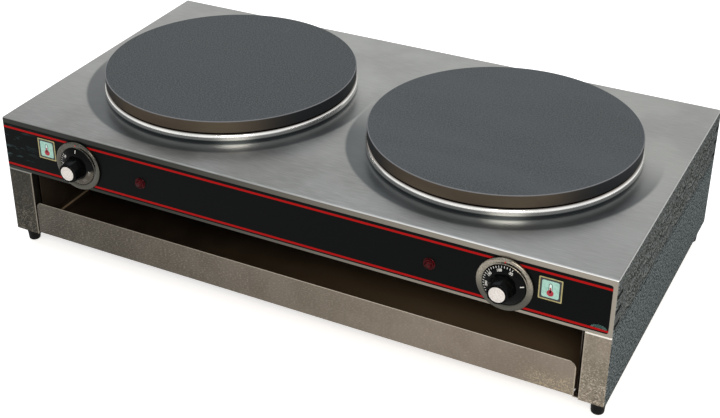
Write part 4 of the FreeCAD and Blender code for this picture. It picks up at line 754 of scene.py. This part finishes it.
def patch(name, centre, width, height, corner, level):
    """Printed patch with round corners, a hair proud of the overlay. Sizes are in millimetres."""
    bpy.ops.mesh.primitive_plane_add(size=1, location=(0, 0, 0))
    piece = bpy.context.active_object
    piece.name = name
    piece.scale = (width * MM, height * MM, 1)
    settle(piece)
    edit(piece)
    bpy.ops.mesh.bevel(offset=corner * MM, segments=6, affect="VERTICES")
    bpy.ops.mesh.select_all(action="SELECT")
    bpy.ops.mesh.extrude_region_move(TRANSFORM_OT_translate={"value": (0, 0, PRINT_T * MM)})
    bpy.ops.mesh.select_all(action="SELECT")
    bpy.ops.mesh.normals_make_consistent(inside=False)
    leave_edit()
    face_front(piece, centre[0] * MM, centre[1] * MM)
    piece.location.y = -OVERLAY_T - level * PRINT_T * MM
    settle(piece)
    return piece


def temperature_sign(side):
    """Framed pane with a thermometer, printed beside each knob."""
    x, z = SIGN_CENTRES[side]
    line = 2 * SIGN_LINE
    bulb = (x, z - 5.0)
    stem = (x, z + 1.4)
    layers = (
        ("frame", (x, z), SIGN_W, SIGN_H, 1.2, 0, inks["gold"]),
        ("ground", (x, z), SIGN_W - line, SIGN_H - line, 0.8, 1, inks["black"]),
        ("pane", (x, z), PANE_W, PANE_H, 2.2, 2, inks["teal"]),
        ("tube", stem, 4.6, TUBE_H, 2.2, 3, inks["grey"]),
        ("glass", stem, 2.8, TUBE_H - 1.8, 1.35, 4, inks["pale"]),
        ("column", (x, z - 1.2), 1.9, TUBE_H - 5.6, 0.9, 5, inks["thermometer_red"]),
        ("bulb", bulb, 8.2, 8.2, 4.0, 5, inks["thermometer_red"]),
    )
    for name, centre, width, height, corner, level, ink in layers:
        piece = patch(f"{side}_sign_{name}", centre, width, height, corner, level)
        seat(piece, "casing", ink, "printed_film")


def dial_figure(text, angle):
    """One number of the scale, lying on the skirt's cone with its top outwards."""
    bpy.ops.object.text_add(location=(0, 0, 0))
    figure = bpy.context.active_object
    figure.data.body = text
    figure.data.size = FIGURE_H * MM
    figure.data.align_x = "CENTER"
    figure.data.align_y = "CENTER"
    figure.data.extrude = PRINT_T * MM
    figure.data.offset = 0.15 * MM
    only(figure)
    bpy.ops.object.convert(target="MESH")
    return on_cone(figure, FIGURE_R, angle)


def dial_bar(width, length, radius, angle):
    """One line of the scale."""
    bpy.ops.mesh.primitive_cube_add(size=1)
    bar = bpy.context.active_object
    bar.scale = (width * MM, length * MM, 2 * PRINT_T * MM)
    settle(bar)
    soften(bar, 0.03, 1)
    return on_cone(bar, radius, angle)


def on_cone(piece, radius, angle):
    """Lays a flat mark on the skirt's cone, at an angle counted anticlockwise from the top."""
    slope = math.atan2(GRIP_Z - DIAL_EDGE, DIAL_R - GRIP_BASE_R)
    height = DIAL_EDGE + (DIAL_R - radius) * math.tan(slope)
    tilt = Matrix.Rotation(-slope, 4, "X")
    out = Matrix.Translation((0, radius * MM, (height + PRINT_T) * MM))
    piece.matrix_world = Matrix.Rotation(math.radians(angle), 4, "Z") @ out @ tilt
    settle(piece)
    return piece


def dial_marks():
    """Zero bar, ticks and numbers of the temperature scale."""
    marks = [dial_bar(MARK_W, MARK_L, MARK_R, 0)]
    first = SCALE_MARKS[0][0]
    last = SCALE_MARKS[-1][0]
    for angle in range(first, last + 1, TICK_STEP):
        marks.append(dial_bar(TICK_W, TICK_L, TICK_R, angle))
    for angle, text in SCALE_MARKS:
        marks.append(dial_figure(text, angle))
    return joined("dial_marks", marks)


def skirt_and_grip():
    """Knob moulding: a coned skirt, a fillet and an eight-sided grip that tapers to a round rim."""
    skirt = lathe("skirt", [
        (0, DIAL_STAND), (DIAL_R - 0.5, DIAL_STAND), (DIAL_R, DIAL_STAND + 0.5), (DIAL_R, DIAL_EDGE - 0.5),
        (DIAL_R - 0.5, DIAL_EDGE + 0.1), (GRIP_BASE_R + 0.4, GRIP_Z), (GRIP_BASE_R - 2.0, GRIP_Z + 0.6),
        (0, GRIP_Z + 0.6)])
    bpy.ops.mesh.primitive_cone_add(
        vertices=GRIP_FACES, radius1=GRIP_BASE_R * MM, radius2=GRIP_TIP_R * 1.06 * MM,
        depth=(GRIP_TOP - GRIP_Z) * MM, location=(0, 0, (GRIP_TOP + GRIP_Z) / 2 * MM),
        rotation=(0, 0, math.pi / GRIP_FACES))
    grip = bpy.context.active_object
    settle(grip)
    soften(grip, 1.5, 4)
    rim = lathe("grip_rim", [
        (0, GRIP_TOP - 3.0), (GRIP_TIP_R - 1.2, GRIP_TOP - 3.0), (GRIP_TIP_R - 0.4, GRIP_TOP - 1.6),
        (GRIP_TIP_R - 0.5, GRIP_TOP - 0.3), (GRIP_TIP_R - 1.1, GRIP_TOP), (CAP_R + 0.3, GRIP_TOP),
        (CAP_R + 0.1, GRIP_TOP - 1.4), (0, GRIP_TOP - 1.4)])
    return joined("knob_moulding", [skirt, grip, rim])


def cap_disc():
    """White cap with a shallow groove near its rim and a low crown."""
    return lathe("cap_disc", [
        (0, GRIP_TOP - 1.4), (CAP_R, GRIP_TOP - 1.4), (CAP_R, GRIP_TOP + 0.3), (CAP_R - 0.5, GRIP_TOP + 0.7),
        (CAP_R - 1.5, GRIP_TOP + 0.8), (CAP_R - 1.8, GRIP_TOP + 0.6), (CAP_R - 2.2, GRIP_TOP + 0.6),
        (CAP_R - 2.5, GRIP_TOP + 0.85), (4.0, CAP_TOP - 0.05), (0, CAP_TOP)])


def bezel_ring():
    """Turned bezel: a rounded outer shoulder, a flat face and a thin bright inner lip."""
    low = OVERLAY_T / MM
    top = low + BEZEL_T
    return lathe("bezel_ring", [
        (BEZEL_BORE, low), (BEZEL_R, low), (BEZEL_R, top - 2.0), (BEZEL_R - 0.4, top - 0.9),
        (BEZEL_R - 1.3, top - 0.25), (BEZEL_R - 2.4, top), (BEZEL_BORE + 2.0, top),
        (BEZEL_BORE + 1.4, top - 0.5), (BEZEL_BORE + 0.9, top - 0.5), (BEZEL_BORE + 0.5, top - 0.1),
        (BEZEL_BORE, top - 0.4), (BEZEL_BORE, low)], 128, 50)


def collar_rings():
    """Spun rings under the plates: an inward foot, an upright wall and a rolled top edge."""
    for side in SIDES:
        node = side + "_collar_ring"
        low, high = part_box(node)
        outer = (high.x - low.x) / 2 / MM
        base = low.z / MM
        top = high.z / MM
        profile = [(outer - RING_FOOT_W, base), (outer, base)]
        for k in range(RING_ROLL_STEPS + 1):
            angle = math.pi / 2 * k / RING_ROLL_STEPS
            profile.append((outer - RING_ROLL + RING_ROLL * math.cos(angle),
                            top - RING_ROLL + RING_ROLL * math.sin(angle)))
        inner = RING_ROLL - RING_SHEET
        profile += [(outer - RING_TOP_W, top), (outer - RING_TOP_W, top - RING_SHEET)]
        for k in range(RING_ROLL_STEPS, -1, -1):
            angle = math.pi / 2 * k / RING_ROLL_STEPS
            profile.append((outer - RING_ROLL + inner * math.cos(angle),
                            top - RING_ROLL + inner * math.sin(angle)))
        profile += [(outer - RING_SHEET, base + RING_SHEET), (outer - RING_FOOT_W, base + RING_SHEET),
                    (outer - RING_FOOT_W, base)]
        ring = lathe(node + "_spun", profile, 180)
        ring.location = ((low.x + high.x) / 2, (low.y + high.y) / 2, 0)
        seat(ring, "casing", ring_steel, "polished_ring", node)


def index_dot():
    """Red dot on the bezel, at the top: a low dome of paint."""
    base = OVERLAY_T / MM + BEZEL_T
    dot = lathe("index_dot", [
        (0, base), (DOT_R, base), (DOT_R - 0.1, base + 0.2), (DOT_R - 0.4, base + 0.32),
        (0, base + 0.36)], 32)
    dot.location.y = (BEZEL_R + BEZEL_BORE) / 2 * MM
    settle(dot)
    return dot


def controls():
    """Knobs, dials, caps and bezels, made once and placed on both sides."""
    moulding = skirt_and_grip()
    marks = dial_marks()
    cap = cap_disc()
    ring = bezel_ring()
    dot = index_dot()
    turns = {"left": 0.0, "right": RIGHT_DIAL_TURN}
    for side in SIDES:
        low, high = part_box(side + "_bezel")
        x = (low.x + high.x) / 2
        z = (low.z + high.z) / 2
        body = side + "_knob_body"
        turn = turns[side]
        piece = face_front(twin(moulding, side + "_knob_moulding"), x, z, turn)
        seat(piece, body, mouldings[side], "phenolic_black", side + "_knob")
        piece = face_front(twin(marks, side + "_dial_marks"), x, z, turn)
        seat(piece, body, scales[side], "phenolic_black")
        piece = face_front(twin(cap, side + "_cap_disc"), x, z, turn)
        seat(piece, body, inks["cap"], "cap_white", side + "_knob_cap")
        piece = face_front(twin(ring, side + "_bezel_ring"), x, z)
        seat(piece, "casing", bezel_metal, "bezel_metal", side + "_bezel")
        piece = face_front(twin(dot, side + "_index_dot"), x, z)
        seat(piece, "casing", inks["red"], "bezel_metal")
    for pattern in (moulding, marks, cap, ring, dot):
        bpy.data.objects.remove(pattern)


def pilot_lamps():
    """Red lenses: a thin flange, a stepped rim and a low dome with a flat crown."""
    for side in SIDES:
        low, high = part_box(side + "_lamp_lens")
        base = OVERLAY_T / MM
        flange = (high.x - low.x) / 2 / MM
        top = (FACE_Y + OVERLAY_T - low.y) / MM
        lens = lathe(side + "_lens", [
            (0, -8.0), (5.0, -8.0), (5.0, base), (flange, base), (flange, base + 0.7),
            (flange - 0.3, base + 1.0), (6.6, base + 1.0), (6.6, base + 2.3), (6.3, base + 2.8),
            (5.6, base + 2.9), (5.1, base + 2.2),
            (4.6, base + 2.2), (4.2, base + 3.2), (3.0, top - 0.35), (1.6, top - 0.06), (0, top)], 64, 35)
        face_front(lens, (low.x + high.x) / 2, (low.z + high.z) / 2)
        seat(lens, "casing", lens_red, "lens_red", side + "_lamp_lens")


def feet():
    """Tapered rubber feet: thin flange, waist with a moulding line, and a rounded tip."""
    for node in ("front_left_foot", "front_right_foot", "rear_left_foot", "rear_right_foot"):
        low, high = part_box(node)
        flange = (high.x - low.x) / 2 / MM
        top = high.z / MM
        foot = lathe(node + "_rubber", [
            (0, 0), (5.5, 0), (6.9, 0.4), (7.8, 1.4), (8.1, 3.0), (8.5, 10.0), (9.5, 15.5), (10.8, top - 4.4),
            (11.1, top - 3.2), (11.5, top - 2.9), (flange - 0.3, top - 2.9), (flange, top - 2.3),
            (flange, top - 0.6), (flange - 0.5, top), (0, top)], 64)
        foot.location = ((low.x + high.x) / 2, (low.y + high.y) / 2, 0)
        seat(foot, "casing", rubber, "foot_rubber", node)


def film_scrap():
    """Torn half-moon of protective film that still sticks to the overlay's lower right corner."""
    bpy.ops.object.select_all(action="DESELECT")
    bpy.ops.mesh.primitive_circle_add(vertices=40, radius=SCRAP_W / 2 * MM, fill_type="NGON")
    piece = bpy.context.active_object
    piece.name = "film_scrap"
    edit(piece)
    bpy.ops.mesh.bisect(plane_co=(0, 0, 0), plane_no=(0.1, 1, 0), clear_inner=True)
    bpy.ops.mesh.select_all(action="SELECT")
    bpy.ops.transform.resize(value=(1, SCRAP_H / SCRAP_W * 2, 1))
    leave_edit()
    use_modifier(piece, "SOLIDIFY", thickness=SCRAP_T * MM)
    soften(piece, 0.03, 1)
    piece.rotation_euler = (math.radians(90), 0, 0)
    piece.location = (OVERLAY_HIGH.x - SCRAP_INSET * MM, FACE_Y - SCRAP_STAND * MM,
                      OVERLAY_LOW.z + SCRAP_RISE * MM)
    seat(piece, "casing", clear_film(), "printed_film")


def camera():
    """Camera of the photograph, from its fitted place and direction."""
    data = bpy.data.cameras.new("photo_camera")
    data.lens = CAMERA_LENS
    data.shift_x, data.shift_y = CAMERA_SHIFT
    data.clip_start = 0.05
    piece = bpy.data.objects.new("photo_camera", data)
    bpy.context.scene.collection.objects.link(piece)
    look = Euler((math.radians(90 - CAMERA_ELEVATION), 0, math.radians(CAMERA_AZIMUTH))).to_matrix()
    roll = Matrix.Rotation(math.radians(CAMERA_ROLL), 3, "Z")
    piece.matrix_world = Matrix.Translation(CAMERA_SPOT) @ (look @ roll).to_4x4()
    bpy.context.scene.camera = piece


def soft_light(name, spot, size, watts, code, target=(0, 0, 0.15)):
    """Square soft box that faces a target."""
    data = bpy.data.lights.new(name, "AREA")
    data.size = size
    data.energy = watts
    data.color = colour(code)[:3]
    piece = bpy.data.objects.new(name, data)
    bpy.context.scene.collection.objects.link(piece)
    piece.location = spot
    piece.rotation_euler = (Vector(target) - Vector(spot)).to_track_quat("-Z", "Y").to_euler()


def seen_directly(owner):
    """1 for rays from the camera, off metal or through glass, 0 for diffuse light."""
    rays = add(owner, "LightPath").node.outputs
    glossy = add(owner, "Math", rays["Is Camera Ray"], rays["Is Glossy Ray"], operation="MAXIMUM")
    return add(owner, "Math", glossy, rays["Is Transmission Ray"], operation="MAXIMUM")


def studio():
    """White floor and world, and soft lamps at a plain level."""
    bpy.ops.mesh.primitive_plane_add(size=FLOOR_SIZE)
    floor = bpy.context.active_object
    floor.name = "floor"
    material, shader = new_material("white_floor", Base_Color="#f4f4f4", Emission_Color="#ffffff",
                                    Roughness=0.9, Specular_IOR_Level=0.1)
    attach(shader, Emission_Strength=add(material, "Math", seen_directly(material), FLOOR_GLOW, **TIMES))
    floor.data.materials.append(material)
    world = bpy.data.worlds.new("studio")
    world.use_nodes = True
    bpy.context.scene.world = world
    background = world.node_tree.nodes["Background"]
    background.inputs["Color"].default_value = (1, 1, 1, 1)
    attach(background, Strength=add(world, "MapRange", seen_directly(world), 0, 1, WORLD_LEVEL, 1))
    for name, spot, size, watts, code in LAMPS:
        soft_light(name, spot, size, watts, code)


bpy.context.scene.view_settings.view_transform = "Standard"
camera()
studio()

# The left knob's moulding and scale carry the painted glare.
mouldings = {"left": black_phenolic("black_phenolic_with_painted_glare", dust_and_glare=True),
             "right": black_phenolic("black_phenolic")}
scales = {"left": plain_paint("white_ink_with_painted_glare", "#d8d8d4", "#bdbdb9", dust_and_glare=True),
          "right": plain_paint("white_ink", "#dededa", "#c8c8c4")}
bezel_metal = anodised_bezel()
lens_red = red_lens()
rubber = foot_rubber()
inks = {
    "gold": plain_paint("gold_ink", "#a99f6b", "#978d5c"),
    "black": plain_paint("black_ink", "#101212", "#181a1a"),
    "teal": plain_paint("teal_ink", "#a3cfc2", "#93c0b3"),
    "grey": plain_paint("grey_ink", "#3f5a55", "#385049"),
    "pale": plain_paint("pale_ink", "#d9efe8", "#cbe4dc"),
    "thermometer_red": plain_paint("thermometer_red_ink", "#a80f2a", "#960d25"),
    "red": plain_paint("red_ink", "#c02018", "#a81a14"),
    "cap": plain_paint("white_cap_plastic", "#e4e0dc", "#cfcac5", 2.0, (0.3, 0.45)),
}

stainless = satin_stainless()
frame_sheet = mottled_frame_sheet()
brown_shaded_sheet = browned_shaded_steel()
rear_sheet = back_sheet()
zinc_sheet = galvanised()
dressed("upper_housing", stainless, 0.25, "stainless_sheet")
dressed("rear_panel", rear_sheet, 0.2, "stainless_sheet")
dressed("lower_rear_panel", rear_sheet, 0.2, "stainless_sheet")
dressed("base_plate", brown_shaded_sheet, 0.2, "stainless_sheet")
dressed("pull_out_tray", tray_sheet(), 0.25, "tray_sheet", "tray_body")
dressed("control_overlay", printed_overlay(), 0.1, "printed_film")
ring_steel = polished_ring_steel()
# Painted shade: the left plate gets darker tones than the right.
lit_and_shaded_iron_tones = {"left": ("#303436", "#3a3f41"), "right": ("#383d3f", "#454b4e")}
for side in SIDES:
    dressed(side + "_side_frame", frame_sheet, 0.25, "frame_sheet")
    dressed(side + "_tray_runner", brown_shaded_sheet, 0.2, "galvanised_sheet")
    low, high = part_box(side + "_griddle_plate")
    iron = seasoned_iron((low.x + high.x) / 2, *lit_and_shaded_iron_tones[side])
    dressed(side + "_griddle_plate", iron, 0.4, "cast_iron_plate")
black_nylon = plain_paint("black_polyamide", "#141414", "#1f1f1f", 2.0, (0.45, 0.6))
earth_metal = dull_metal("turned_brass", "#a5853f", "#8a6c2e")
dressed("cable_gland", black_nylon, 0.3, "gland_plastic")
dressed("earth_terminal", earth_metal, 0.2, "earth_brass")
collar_rings()
controls()
film_scrap()
pilot_lamps()
feet()
for side in SIDES:
    temperature_sign(side)

zinc = dull_metal("zinc_plated_steel", "#a9a9a4", "#8d8d88")
steel = dull_metal("cold_rolled_steel", "#6a6763", "#55524e", 12.0)
ceramic = plain_paint("steatite_ceramic", "#d8d2c4", "#c4bdad", 5.0, (0.6, 0.75))
wool = fibrous("pressed_mineral_wool", "#a89a70", "#857850", 1.2)
hidden = {
    "heat_shield": zinc_sheet, "clamp_plate": steel, "insulation": wool,
    "heating_element": dull_metal("scaled_element_sheath", "#3a342f", "#2a2622", 6.0, (0.5, 0.7)),
    "thermostat": dull_metal("pressed_thermostat_case", "#9a9a92", "#84847d"),
    "sensor": dull_metal("drawn_copper", "#a8643f", "#8a4f32", 5.0),
    "lamp_body": plain_paint("white_polyamide", "#d6d3ca", "#c5c2b9"),
    "wiring": fibrous("glass_fibre_sleeving", "#cfc5b0", "#b3a98f", 0.8),
    "spindle": zinc,
}
finishes = {
    "front_support_rail": zinc_sheet, "rear_support_rail": zinc_sheet, "foot_studs": zinc, "foot_nuts": zinc,
    "griddle_studs": zinc, "griddle_nuts": zinc, "stud_sleeves": zinc, "terminal_insulators": ceramic,
    "thermostat_screws": zinc, "terminal_block": ceramic, "gland_locknut": black_nylon, "rear_screws": zinc,
    "frame_screws": zinc, "runner_screws": zinc,
}
finishes.update({f"{side}_{part}": material for side in SIDES for part, material in hidden.items()})
for node, material in finishes.items():
    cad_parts[node].data.materials.clear()
    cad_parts[node].data.materials.append(material)
